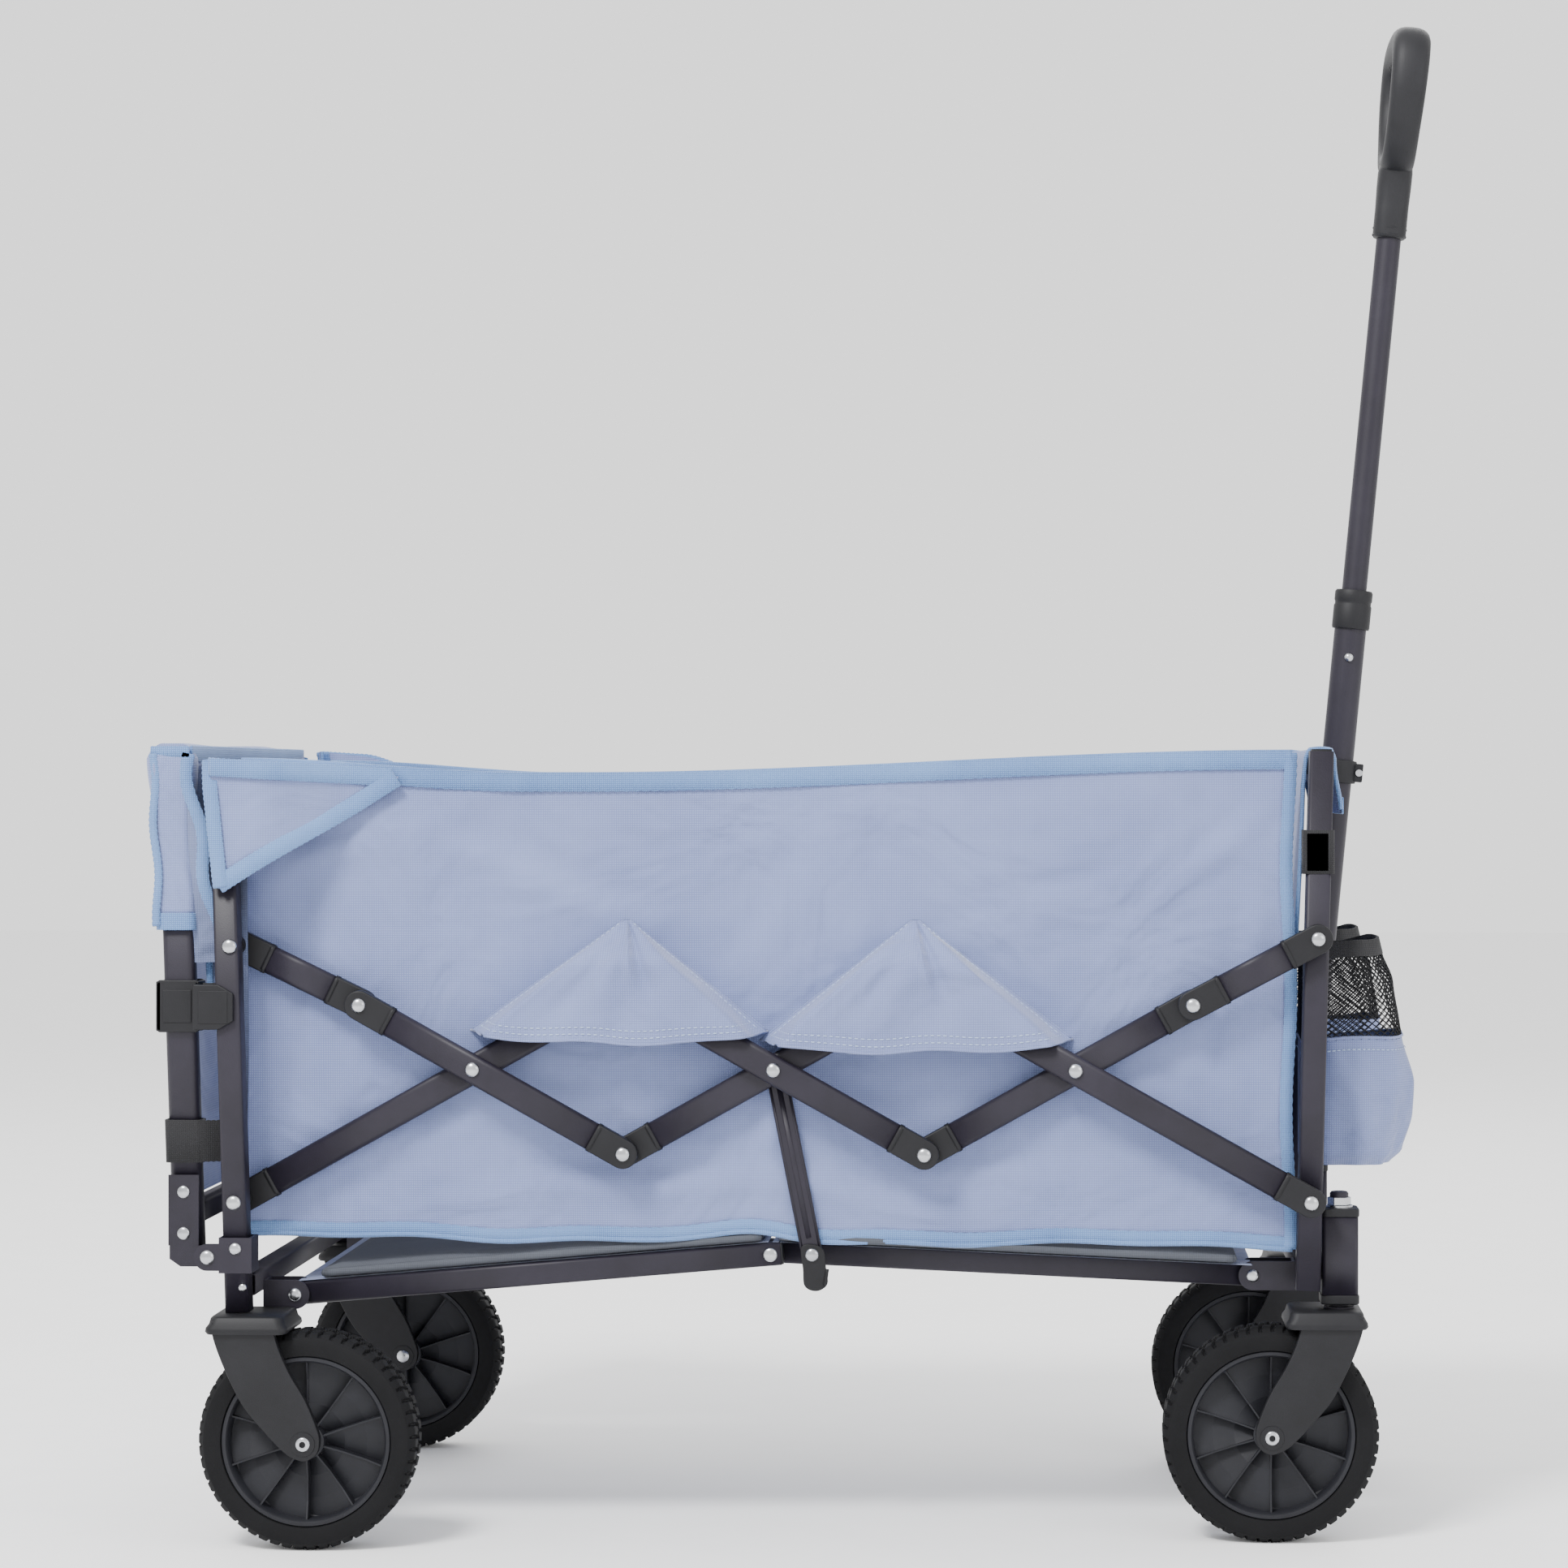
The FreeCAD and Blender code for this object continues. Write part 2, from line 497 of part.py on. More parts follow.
save("gate_rivets", [s for z in (256, 290) for s in both_sides(rod_y(-509.5, z, 5.5, 230.0, 232.2))])

# ---------------------------------------------------------------- handle
def on_handle(shape):
    shape.rotate(V(HANDLE_X, 0, HANDLE_Z), Y_AXIS, HANDLE_LEAN)
    return shape


def tube_z(r_out, r_in, z0, z1):
    solid = Part.makeCylinder(r_out, z1 - z0, V(HANDLE_X, 0, z0))
    return solid.cut(Part.makeCylinder(r_in, z1 - z0 + 2, V(HANDLE_X, 0, z0 - 1))) if r_in else solid


sec = 1 / math.cos(math.radians(HANDLE_LEAN))


def up(z):
    """Height along the leaning handle of a level z."""
    return HANDLE_Z + (z - HANDLE_Z) * sec


outer_tube = tube_z(OUTER_TUBE_R, INNER_TUBE_R + 0.4, 243, up(784))
outer_tube = outer_tube.cut(rod_y(HANDLE_X, HANDLE_Z, 5.3, -20, 20))
outer_tube = outer_tube.cut(rod_y(HANDLE_X, up(BUTTON_Z), 4.35, -20, 0))
save("handle_outer_tube", [on_handle(outer_tube)])
collar = tube_z(16.5, OUTER_TUBE_R + 0.1, up(762), up(785)).fuse(tube_z(16.5, INNER_TUBE_R + 0.4, up(784.5), up(COLLAR_Z)))
save("handle_collar", [on_handle(collar.removeSplitter())])
clamp = tube_z(17, OUTER_TUBE_R + 0.1, up(626), up(646)).fuse(block((HANDLE_X + 15.5, HANDLE_X + 26), (-8, 8), (up(628), up(644))))
save("handle_clip", [on_handle(clamp.removeSplitter())])
inner_tube = tube_z(INNER_TUBE_R, INNER_TUBE_R - 1.2, up(700), up(GRIP_Z + 30))
inner_tube = inner_tube.cut(rod_y(HANDLE_X, up(BUTTON_Z), 4.6, -20, 0))
save("handle_inner_tube", [on_handle(inner_tube)])
button = rod_y(HANDLE_X, up(BUTTON_Z), 4.0, -17, -11.3)
save("snap_button", [on_handle(button)])

# the grip: a stem, then a closed loop across the wagon
stem = tube_z(14.5, 0, up(GRIP_Z), up(1165))
stem = stem.cut(tube_z(INNER_TUBE_R + 0.1, 0, up(GRIP_Z) - 1, up(GRIP_Z + 30) + 0.3))
top_height = up(TOP_Z) - 2
outline = [(-18, up(1150)), (18, up(1150)), (62, up(1212)), (66, up(1240)), (52, top_height), (-52, top_height),
           (-66, up(1240)), (-62, up(1212))]
opening = [(-14, up(1178)), (14, up(1178)), (42, up(1216)), (42, up(1240)), (34, top_height - 25), (-34, top_height - 25),
           (-42, up(1240)), (-42, up(1216))]


def across(points, half):
    wire = Part.makePolygon([V(HANDLE_X - half, y, z) for y, z in points + points[:1]])
    return Part.Face(wire).extrude(V(2 * half, 0, 0))


loop = across(outline, 17).cut(across(opening, 20))
save("handle_grip", [on_handle(stem.fuse(loop).removeSplitter())])

# ---------------------------------------------------------------- side fabric
wall = plate([(-452, FABRIC_BOTTOM), (392, FABRIC_BOTTOM), (405, RIM_Z - 2), (150, RIM_Z - 8), (-300, RIM_Z - 12), (-466, RIM_Z)],
             FABRIC_Y, FABRIC_Y + FABRIC_T)
hang = Part.makePolygon([V(0, y, z) for y, z in (
    (189.5, 516), (224, 487), (226, 420), (227.6, 420), (225.6, 489), (190.5, 518), (189.5, 516))])
fold = Part.Face(hang).extrude(V(900, 0, 0))
fold.translate(V(-450, 0, 0))
for corners in (((-279, 421), (-149, 516), (-32, 420)), ((-38, 414), (90, 516), (220, 415))):
    points = [(corners[0][0], 410), corners[0], (corners[1][0] - 4, 520), (corners[1][0] + 4, 520), corners[2], (corners[2][0], 410)]
    wall = wall.fuse(fold.common(plate(points, 180, 240)))
save("side_fabric", both_sides(wall.removeSplitter()))
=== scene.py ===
import json
from math import copysign, cos, exp, hypot, pi, radians, sin, tanh

import bmesh
import bpy
import numpy as np
from mathutils import Matrix, Vector


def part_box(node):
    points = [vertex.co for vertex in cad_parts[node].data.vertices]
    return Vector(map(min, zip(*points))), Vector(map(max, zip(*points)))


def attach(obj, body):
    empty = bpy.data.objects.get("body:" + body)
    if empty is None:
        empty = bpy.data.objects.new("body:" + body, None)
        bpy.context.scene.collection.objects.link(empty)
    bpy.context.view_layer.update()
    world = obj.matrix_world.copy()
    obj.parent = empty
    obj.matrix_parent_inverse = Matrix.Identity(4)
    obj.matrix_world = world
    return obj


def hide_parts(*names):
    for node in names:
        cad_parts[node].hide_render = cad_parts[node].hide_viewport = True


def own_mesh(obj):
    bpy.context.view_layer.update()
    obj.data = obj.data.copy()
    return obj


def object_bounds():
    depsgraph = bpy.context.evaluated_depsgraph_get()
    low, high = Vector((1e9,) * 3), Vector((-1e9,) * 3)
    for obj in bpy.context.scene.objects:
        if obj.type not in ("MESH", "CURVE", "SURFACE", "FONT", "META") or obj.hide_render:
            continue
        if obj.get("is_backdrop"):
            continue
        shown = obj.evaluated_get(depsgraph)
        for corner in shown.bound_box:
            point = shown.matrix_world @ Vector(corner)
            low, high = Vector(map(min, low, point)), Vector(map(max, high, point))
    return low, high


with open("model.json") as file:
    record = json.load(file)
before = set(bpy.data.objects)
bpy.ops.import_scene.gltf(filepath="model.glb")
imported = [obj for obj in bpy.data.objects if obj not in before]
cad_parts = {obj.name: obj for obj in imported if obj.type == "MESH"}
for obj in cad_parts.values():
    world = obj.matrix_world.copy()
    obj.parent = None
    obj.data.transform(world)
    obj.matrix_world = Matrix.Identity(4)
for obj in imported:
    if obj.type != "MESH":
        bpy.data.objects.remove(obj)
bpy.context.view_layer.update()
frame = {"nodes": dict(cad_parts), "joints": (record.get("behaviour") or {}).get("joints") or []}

MM = 0.001
PIVOT = {j["name"]: Vector(j["pos_m"]) for j in frame["joints"] if "pos_m" in j}
SIDES = (("right", -1), ("left", 1))
UPWARD, FORWARD, SIDEWAYS = Vector((0, 0, 1)), Vector((1, 0, 0)), Vector((0, 1, 0))

# places that no joint or box gives, in metres
REAR_FOOT_X = -0.4632         # the rear posts' middle line at their feet
CROWN_Z = (0.182, 0.192)      # bottom and top of the fork crowns' caps
FORK_OUT = 0.0322             # outer face of a fork arm, from the wheel's middle plane
GATE_Y = 0.219                # the gate's uprights
GATE_OUT = 0.2430             # outer face of the gate's channels
GATE_FOOT, GATE_HEAD = Vector((-0.507, 0, 0.244)), Vector((-0.520, 0, 0.641))


# ================================================================ materials
def material(name):
    """A new node material, with a helper that adds a node and sets its inputs."""
    m = bpy.data.materials.new(name)
    m.use_nodes = True
    tree = m.node_tree
    bsdf = tree.nodes["Principled BSDF"]

    def add(kind, links=None, **inputs):
        node = tree.nodes.new(kind)
        for key, value in inputs.items():
            node.inputs[key].default_value = value
        for key, source in (links or {}).items():
            tree.links.new(source, node.inputs[key])
        return node

    def link(source, target):
        tree.links.new(source, bsdf.inputs[target])

    return m, tree, bsdf, add, link


def ramp(tree, source, stops):
    """A colour ramp fed by source; stops are (place, colour)."""
    node = tree.nodes.new("ShaderNodeValToRGB")
    tree.links.new(source, node.inputs["Fac"])
    while len(node.color_ramp.elements) < len(stops):
        node.color_ramp.elements.new(0.5)
    for element, (at, colour) in zip(node.color_ramp.elements, stops):
        element.position = at
        element.color = (*colour, 1)
    return node.outputs["Color"]


def grainy(name, dark, light, rough, scale, bump, metal=0.0, coat=0.0, distance=0.0004, spec=0.5):
    """Plastic, paint, rubber or metal: two close colours, uneven gloss and a fine grain."""
    m, tree, bsdf, add, link = material(name)
    coord = add("ShaderNodeTexCoord").outputs["Object"]
    broad = add("ShaderNodeTexNoise", {"Vector": coord}, Scale=18.0, Detail=5.0, Roughness=0.6)
    fine = add("ShaderNodeTexNoise", {"Vector": coord}, Scale=scale, Detail=3.0)
    link(ramp(tree, broad.outputs["Fac"], [(0.3, dark), (0.7, light)]), "Base Color")
    gloss = add("ShaderNodeMapRange", {"Value": broad.outputs["Fac"]})
    gloss.inputs["To Min"].default_value = rough[0]
    gloss.inputs["To Max"].default_value = rough[1]
    link(gloss.outputs["Result"], "Roughness")
    bumped = add("ShaderNodeBump", {"Height": fine.outputs["Fac"]}, Strength=bump, Distance=distance)
    link(bumped.outputs["Normal"], "Normal")
    bsdf.inputs["Metallic"].default_value = metal
    bsdf.inputs["Specular IOR Level"].default_value = spec
    bsdf.inputs["Coat Weight"].default_value = coat
    bsdf.inputs["Coat Roughness"].default_value = 0.3
    return m


def woven(name, dark, light, thread, bump, rough=0.85, sheen=0.25, broad_scale=7.0):
    """Cloth: crossing threads in relief, with slow changes of shade."""
    m, tree, bsdf, add, link = material(name)
    spot = add("ShaderNodeTexCoord")
    coord = spot.outputs["Object"]
    broad = add("ShaderNodeTexNoise", {"Vector": coord}, Scale=broad_scale, Detail=4.0, Roughness=0.6)
    facing = add("ShaderNodeSeparateXYZ", {"Vector": spot.outputs["Normal"]})
    threads = []
    for axis in ("X", "Y", "Z"):
        wave = add("ShaderNodeTexWave", {"Vector": coord}, Scale=thread, Distortion=0.6, Detail=1.0)
        wave.bands_direction = axis
        # the threads running across the way the cloth faces are switched off
        away = add("ShaderNodeMath", {0: facing.outputs[axis]})
        away.operation = "ABSOLUTE"
        level = add("ShaderNodeMapRange", {"Value": away.outputs[0]})
        level.inputs["From Min"].default_value = 0.55
        level.inputs["From Max"].default_value = 0.80
        kept = add("ShaderNodeMath", {0: wave.outputs["Fac"], 1: level.outputs["Result"]})
        kept.operation = "MAXIMUM"
        threads.append(kept.outputs[0])
    pair = add("ShaderNodeMath", {0: threads[0], 1: threads[1]})
    pair.operation = "MULTIPLY"
    weave = add("ShaderNodeMath", {0: pair.outputs[0], 1: threads[2]})
    weave.operation = "MULTIPLY"
    shade = add("ShaderNodeMath", {0: weave.outputs[0], 1: broad.outputs["Fac"]})
    shade.operation = "ADD"
    link(ramp(tree, shade.outputs[0], [(0.35, dark), (1.15, light)]), "Base Color")
    bumped = add("ShaderNodeBump", {"Height": weave.outputs[0]}, Strength=bump, Distance=0.0004)
    link(bumped.outputs["Normal"], "Normal")
    bsdf.inputs["Roughness"].default_value = rough
    bsdf.inputs["Sheen Weight"].default_value = sheen
    return m


def fabric_with_creases(name, dark, light):
    """The basket's cloth: weave plus long soft creases."""
    m = woven(name, dark, light, 165.0, 0.6)
    tree = m.node_tree
    coord = tree.nodes.new("ShaderNodeTexCoord").outputs["Object"]
    noise = tree.nodes.new("ShaderNodeTexNoise")
    noise.inputs["Scale"].default_value = 9.0
    noise.inputs["Detail"].default_value = 3.0
    noise.inputs["Distortion"].default_value = 0.7
    tree.links.new(coord, noise.inputs["Vector"])
    bump = tree.nodes.new("ShaderNodeBump")
    bump.inputs["Strength"].default_value = 0.8
    bump.inputs["Distance"].default_value = 0.022
    tree.links.new(noise.outputs["Fac"], bump.inputs["Height"])
    weave_bump = next(n for n in tree.nodes if n.bl_idname == "ShaderNodeBump" and n != bump)
    tree.links.new(bump.outputs["Normal"], weave_bump.inputs["Normal"])
    return m


STEEL = grainy("dark_steel", (0.0082, 0.0064, 0.0120), (0.0150, 0.0125, 0.0215), (0.42, 0.55), 900.0, 0.25,
               0.0, 0.0, spec=0.32)
PLASTIC = grainy("black_plastic", (0.0040, 0.0040, 0.0052), (0.0085, 0.0085, 0.0105), (0.46, 0.60), 1400.0,
                 0.25, spec=0.28)
RIM = grainy("rim_plastic", (0.0060, 0.0062, 0.0090), (0.0120, 0.0125, 0.0165), (0.5, 0.65), 1300.0, 0.2,
             spec=0.30)
GRIP = grainy("grip_plastic", (0.0060, 0.0060, 0.0075), (0.0115, 0.0115, 0.0140), (0.46, 0.60), 1500.0, 0.3,
              spec=0.30)
RUBBER = grainy("tyre_rubber", (0.0025, 0.0025, 0.0032), (0.0062, 0.0062, 0.0070), (0.7, 0.85), 700.0, 0.4,
                spec=0.18)
ZINC = grainy("zinc", (0.36, 0.37, 0.39), (0.56, 0.57, 0.59), (0.2, 0.34), 600.0, 0.15, 1.0)
CLOTH = fabric_with_creases("blue_fabric", (0.120, 0.152, 0.310), (0.195, 0.240, 0.435))
# a darker copy of the blue cloth: painted shade, for the inner fold behind the rear post, the web of the
# gate's upright sleeves and the floor sheets under the boards
PAINTED_SHADE_CLOTH = fabric_with_creases("blue_fabric_painted_shade", (0.10, 0.125, 0.23), (0.15, 0.185, 0.32))
BINDING = woven("blue_binding", (0.055, 0.120, 0.29), (0.15, 0.27, 0.52), 190.0, 0.9, 0.8)
WEBBING = woven("black_webbing", (0.0022, 0.0022, 0.0030), (0.010, 0.010, 0.012), 190.0, 0.8, 0.9, 0.04)
MAT = woven("grey_mat", (0.034, 0.038, 0.048), (0.075, 0.082, 0.100), 260.0, 0.5, 0.9, 0.0)
THREAD = woven("blue_thread", (0.30, 0.38, 0.56), (0.40, 0.50, 0.70), 500.0, 0.3)
NET = grainy("black_net", (0.005, 0.005, 0.006), (0.010, 0.010, 0.012), (0.6, 0.75), 900.0, 0.2, spec=0.3)


# ================================================================ mesh helpers
def obj_from(name, verts, faces, mat, smooth=True):
    """A mesh object from points and faces, with its normals facing out."""
    mesh = bpy.data.meshes.new(name)
    mesh.from_pydata([tuple(v) for v in verts], [], faces)
    mesh.update()
    bm = bmesh.new()
    bm.from_mesh(mesh)
    bmesh.ops.recalc_face_normals(bm, faces=bm.faces)
    bm.to_mesh(mesh)
    bm.free()
    mesh.materials.append(mat)
    for poly in mesh.polygons:
        poly.use_smooth = smooth
    o = bpy.data.objects.new(name, mesh)
    bpy.context.scene.collection.objects.link(o)
    return o


def joined(name, objs):
    """Several mesh objects as one."""
    bm = bmesh.new()
    mats = []
    for o in objs:
        part = o.data.copy()
        part.transform(o.matrix_world)
        shift = {}
        for i, m in enumerate(o.data.materials):
            if m not in mats:
                mats.append(m)
            shift[i] = mats.index(m)
        for poly in part.polygons:
            poly.material_index = shift.get(poly.material_index, 0)
        bm.from_mesh(part)
        bpy.data.meshes.remove(part)
    mesh = bpy.data.meshes.new(name)
    bm.to_mesh(mesh)
    bm.free()
    for m in mats:
        mesh.materials.append(m)
    for o in objs:
        old = o.data
        bpy.data.objects.remove(o)
        if old.users == 0:
            bpy.data.meshes.remove(old)
    o = bpy.data.objects.new(name, mesh)
    bpy.context.scene.collection.objects.link(o)
    return o


def soften(o, width=0.0008, segments=2, angle=35):
    """Rounded edges on hard corners, and flat faces kept flat."""
    bevel = o.modifiers.new("soft_edges", "BEVEL")
    bevel.width = width
    bevel.segments = segments
    bevel.limit_method = "ANGLE"
    bevel.angle_limit = radians(angle)
    bevel.harden_normals = True
    o.data.set_sharp_from_angle(angle=radians(angle))
    return o


def grid_faces(rows, cols, wrap_rows=False, wrap_cols=False):
    faces = []
    for i in range(rows if wrap_rows else rows - 1):
        for j in range(cols if wrap_cols else cols - 1):
            a, b = i, (i + 1) % rows
            c, d = j, (j + 1) % cols
            faces.append((a * cols + c, a * cols + d, b * cols + d, b * cols + c))
    return faces


def sweep(name, rings, mat, caps=True, closed=False, smooth=True):
    """A skin over equal rings of points."""
    n = len(rings[0])
    verts = [p for ring in rings for p in ring]
    faces = grid_faces(len(rings), n, wrap_rows=closed, wrap_cols=True)
    if caps and not closed:
        faces.append(tuple(range(n)))
        faces.append(tuple((len(rings) - 1) * n + i for i in range(n)))
    return obj_from(name, verts, faces, mat, smooth)


def rounded(w, t, r, n=5):
    """Points of a rounded rectangle, w by t."""
    pts = []
    for cx, cy, a0 in ((w / 2 - r, t / 2 - r, 0), (-w / 2 + r, t / 2 - r, 90),
                       (-w / 2 + r, -t / 2 + r, 180), (w / 2 - r, -t / 2 + r, 270)):
        for i in range(n + 1):
            a = radians(a0 + 90 * i / n)
            pts.append((cx + r * cos(a), cy + r * sin(a)))
    return pts


def straight(name, p, q, outline, mat, side=Vector((0, 1, 0)), hollow=0.0):
    """An outline swept from p to q: across first, then along side. hollow is a wall thickness."""
    p, q = Vector(p), Vector(q)
    d = (q - p).normalized()
    across = side.cross(d).normalized()
    ring = lambda at, k: [at + across * (a * k[0]) + side * (b * k[1]) for a, b in outline]
    if not hollow:
        return sweep(name, [ring(p, (1, 1)), ring(q, (1, 1))], mat)
    w = max(a for a, _ in outline)
    t = max(b for _, b in outline)
    k = ((w - hollow) / w, (t - hollow) / t)
    rings = [ring(p, (1, 1)), ring(q, (1, 1)), ring(q, k), ring(p, k)]
    return sweep(name, rings, mat, closed=True)


def turned(name, profile, centre, axis, mat, steps=64, closed=False):
    """A (radius, offset) profile turned about an axis through centre."""
    axis = Vector(axis).normalized()
    u = axis.orthogonal().normalized()
    v = axis.cross(u)
    centre = Vector(centre)
    verts = []
    for i in range(steps):
        a = 2 * pi * i / steps
        out = u * cos(a) + v * sin(a)
        verts += [centre + out * r + axis * o for r, o in profile]
    faces = grid_faces(steps, len(profile), wrap_rows=True, wrap_cols=closed)
    o = obj_from(name, verts, faces, mat)
    if not closed:
        bm = bmesh.new()
        bm.from_mesh(o.data)
        bmesh.ops.remove_doubles(bm, verts=bm.verts, dist=1e-6)
        bmesh.ops.recalc_face_normals(bm, faces=bm.faces)
        bm.to_mesh(o.data)
        bm.free()
    o.data.set_sharp_from_angle(angle=radians(40))
    return o


def prism(name, outline, y0, y1, mat, smooth=False):
    """An (x, z) outline extruded along Y."""
    n = len(outline)
    verts = [(x, y0, z) for x, z in outline] + [(x, y1, z) for x, z in outline]
    faces = [tuple(range(n)), tuple(range(n, 2 * n))]
    faces += [(i, (i + 1) % n, n + (i + 1) % n, n + i) for i in range(n)]
    return obj_from(name, verts, faces, mat, smooth)


def y_span(s, y0, y1, middle=0.0):
    """Two places out to side s, the lower one first."""
    return sorted((middle + s * y0, middle + s * y1))


def block(name, low, high, mat):
    return prism(name, [(low[0], low[2]), (high[0], low[2]), (high[0], high[2]), (low[0], high[2])], low[1],
                 high[1], mat)


def bake(parts):
    """Apply the modifiers of several pieces."""
    bpy.context.view_layer.update()
    dg = bpy.context.evaluated_depsgraph_get()
    for p in parts:
        if p.modifiers:
            mesh = bpy.data.meshes.new_from_object(p.evaluated_get(dg))
            p.modifiers.clear()
            p.data = mesh
    return parts


def finish_piece(o, body, slot, *nodes):
    """Give a piece its body, and hide the solids it stands for; the slot is not used."""
    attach(o, body)
    if nodes:
        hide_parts(*nodes)
    return o


def piece(name, parts, body, slot, *nodes):
    """Several parts as one finished piece."""
    return finish_piece(joined(name, bake(parts)), body, slot, *nodes)


def curve_points(points, n=8, closed=True):
    """A smooth closed or open line through 2-D points."""
    pts = [Vector(p) for p in points]
    out = []
    count = len(pts)
    for i in range(count if closed else count - 1):
        if closed:
            a, b, c, d = (pts[(i + k - 1) % count] for k in range(4))
        else:
            a, b, c, d = (pts[min(max(i + k - 1, 0), count - 1)] for k in range(4))
        for s in range(n):
            t = s / n
            out.append(0.5 * (2 * b + (c - a) * t + (2 * a - 5 * b + 4 * c - d) * t * t
                              + (3 * b - a - 3 * c + d) * t ** 3))
    if not closed:
        out.append(pts[-1])
    return [tuple(p) for p in out]


def dome(name, x, y, z, way, r, h, mat=None, ring=False):
    """A rivet head facing along Y."""
    if ring:
        profile = [(r * 0.35, -0.001), (r * 0.42, h * 0.9), (r * 0.62, h * 1.1), (r * 0.85, h * 0.9),
                   (r, h * 0.3), (r, -0.0008)]
    else:
        profile = [(0, h), (r * 0.35, h * 0.95), (r * 0.68, h * 0.75), (r * 0.9, h * 0.42), (r, 0.0),
                   (r, -0.0008)]
    return turned(name, profile, (x, y, z), (0, way, 0), mat or ZINC, 28)


# ================================================================ wheels
def tyre(name, node):
    """A tyre with 54 slanted blocks and a zigzag groove, filling the node's box."""
    low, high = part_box(node)
    c = (low + high) / 2
    radius = (high.z - low.z) / 2
    half = (high.y - low.y) / 2
    steps, blocks, depth = 648, 54, 0.0024
    lateral = np.linspace(-1, 1, 29)
    verts = []
    for i in range(steps):
        a = 2 * pi * i / steps
        u = blocks * i / steps
        for v in lateral:
            zig = abs((u * 2) % 2 - 1) * 0.16 - 0.08
            centre_groove = abs(v - zig) < 0.07
            skew = (u + 0.34 * abs(v) * (1 if v > zig else -1) + (0.5 if v > zig else 0)) % 1
            cross_groove = skew < 0.26 and abs(v) < 0.86
            r = radius - (depth if centre_groove or cross_groove else 0)
            r -= 0.0040 * max(0, abs(v) - 0.66) ** 1.4 * 6
            verts.append((c.x + r * cos(a), c.y + v * half * 0.97, c.z + r * sin(a)))
    side_rings = [(radius - 0.0075, 1.0), (radius - 0.011, 1.0), (radius - 0.0165, 0.98), (0.0700, 0.955),
                  (0.0694, 0.80)]
    cols = len(lateral)
    faces = grid_faces(steps, cols, wrap_rows=True)
    tread = obj_from("tread", verts, faces, RUBBER)
    parts = [tread]
    for way in (-1, 1):
        edge = cols - 1 if way > 0 else 0
        verts = []
        for i in range(steps):
            a = 2 * pi * i / steps
            verts.append(tuple(tread.data.vertices[i * cols + edge].co))
            verts += [(c.x + r * cos(a), c.y + way * half * w, c.z + r * sin(a)) for r, w in side_rings]
        parts.append(obj_from("wall", verts, grid_faces(steps, len(side_rings) + 1, wrap_rows=True),
                              RUBBER))
    o = joined(name, parts)
    o.data.set_sharp_from_angle(angle=radians(28))
    return o


def rim(name, node):
    """A wheel disc with hub, barrel, thin ribs and stepped blades."""
    low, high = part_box(node)
    c = (low + high) / 2
    r = (high.z - low.z) / 2
    parts = []
    half_profile = [(0.0064, 0.020), (0.0125, 0.020), (0.0145, 0.0185), (0.0150, 0.006), (0.020, 0.0042),
                    (r - 0.009, 0.0042),
                    (r - 0.0065, 0.006), (r - 0.0055, 0.0185), (r - 0.004, 0.0202), (r - 0.0012, 0.0202),
                    (r, 0.0185)]
    profile = [(q, -w) for q, w in half_profile] + half_profile[::-1]
    parts.append(turned("disc", profile, c, (0, 1, 0), RIM, 120, closed=True))
    for way in (-1, 1):
        for n in range(10):
            a = radians(36 * n + 18)
            d = Vector((cos(a), 0, sin(a)))
            side = Vector((-sin(a), 0, cos(a)))
            rings = []
            for s, top in ((0.0142, 0.0165), (0.030, 0.0125), (0.050, 0.0125), (r - 0.0055, 0.0165)):
                section = ((0.0009, 0.004), (0.0007, top), (-0.0007, top), (-0.0009, 0.004))
                rings.append([c + d * s + side * b + Vector((0, way * rise, 0)) for b, rise in section])
            parts.append(sweep("rib", rings, RIM, smooth=False))
        # ten blades, each rising across its sector and stepping down to the next
        verts = []
        slices = 12
        radii = [0.0150, 0.030, 0.048, r - 0.0056]
        for n in range(10):
            for k in range(slices):
                a = radians(36 * n + 18 + 36 * min(k / (slices - 2),
                                                   1.0) * (0.999 if k < slices - 1 else 1))
                rise = 0.0046 + 0.0070 * (k / (slices - 2) if k < slices - 1 else 0.0)
                verts += [(c.x + q * cos(a), c.y + way * rise, c.z + q * sin(a)) for q in radii]
        parts.append(obj_from("blades", verts, grid_faces(10 * slices, len(radii), wrap_rows=True), RIM,
                              False))
    return joined(name, parts)


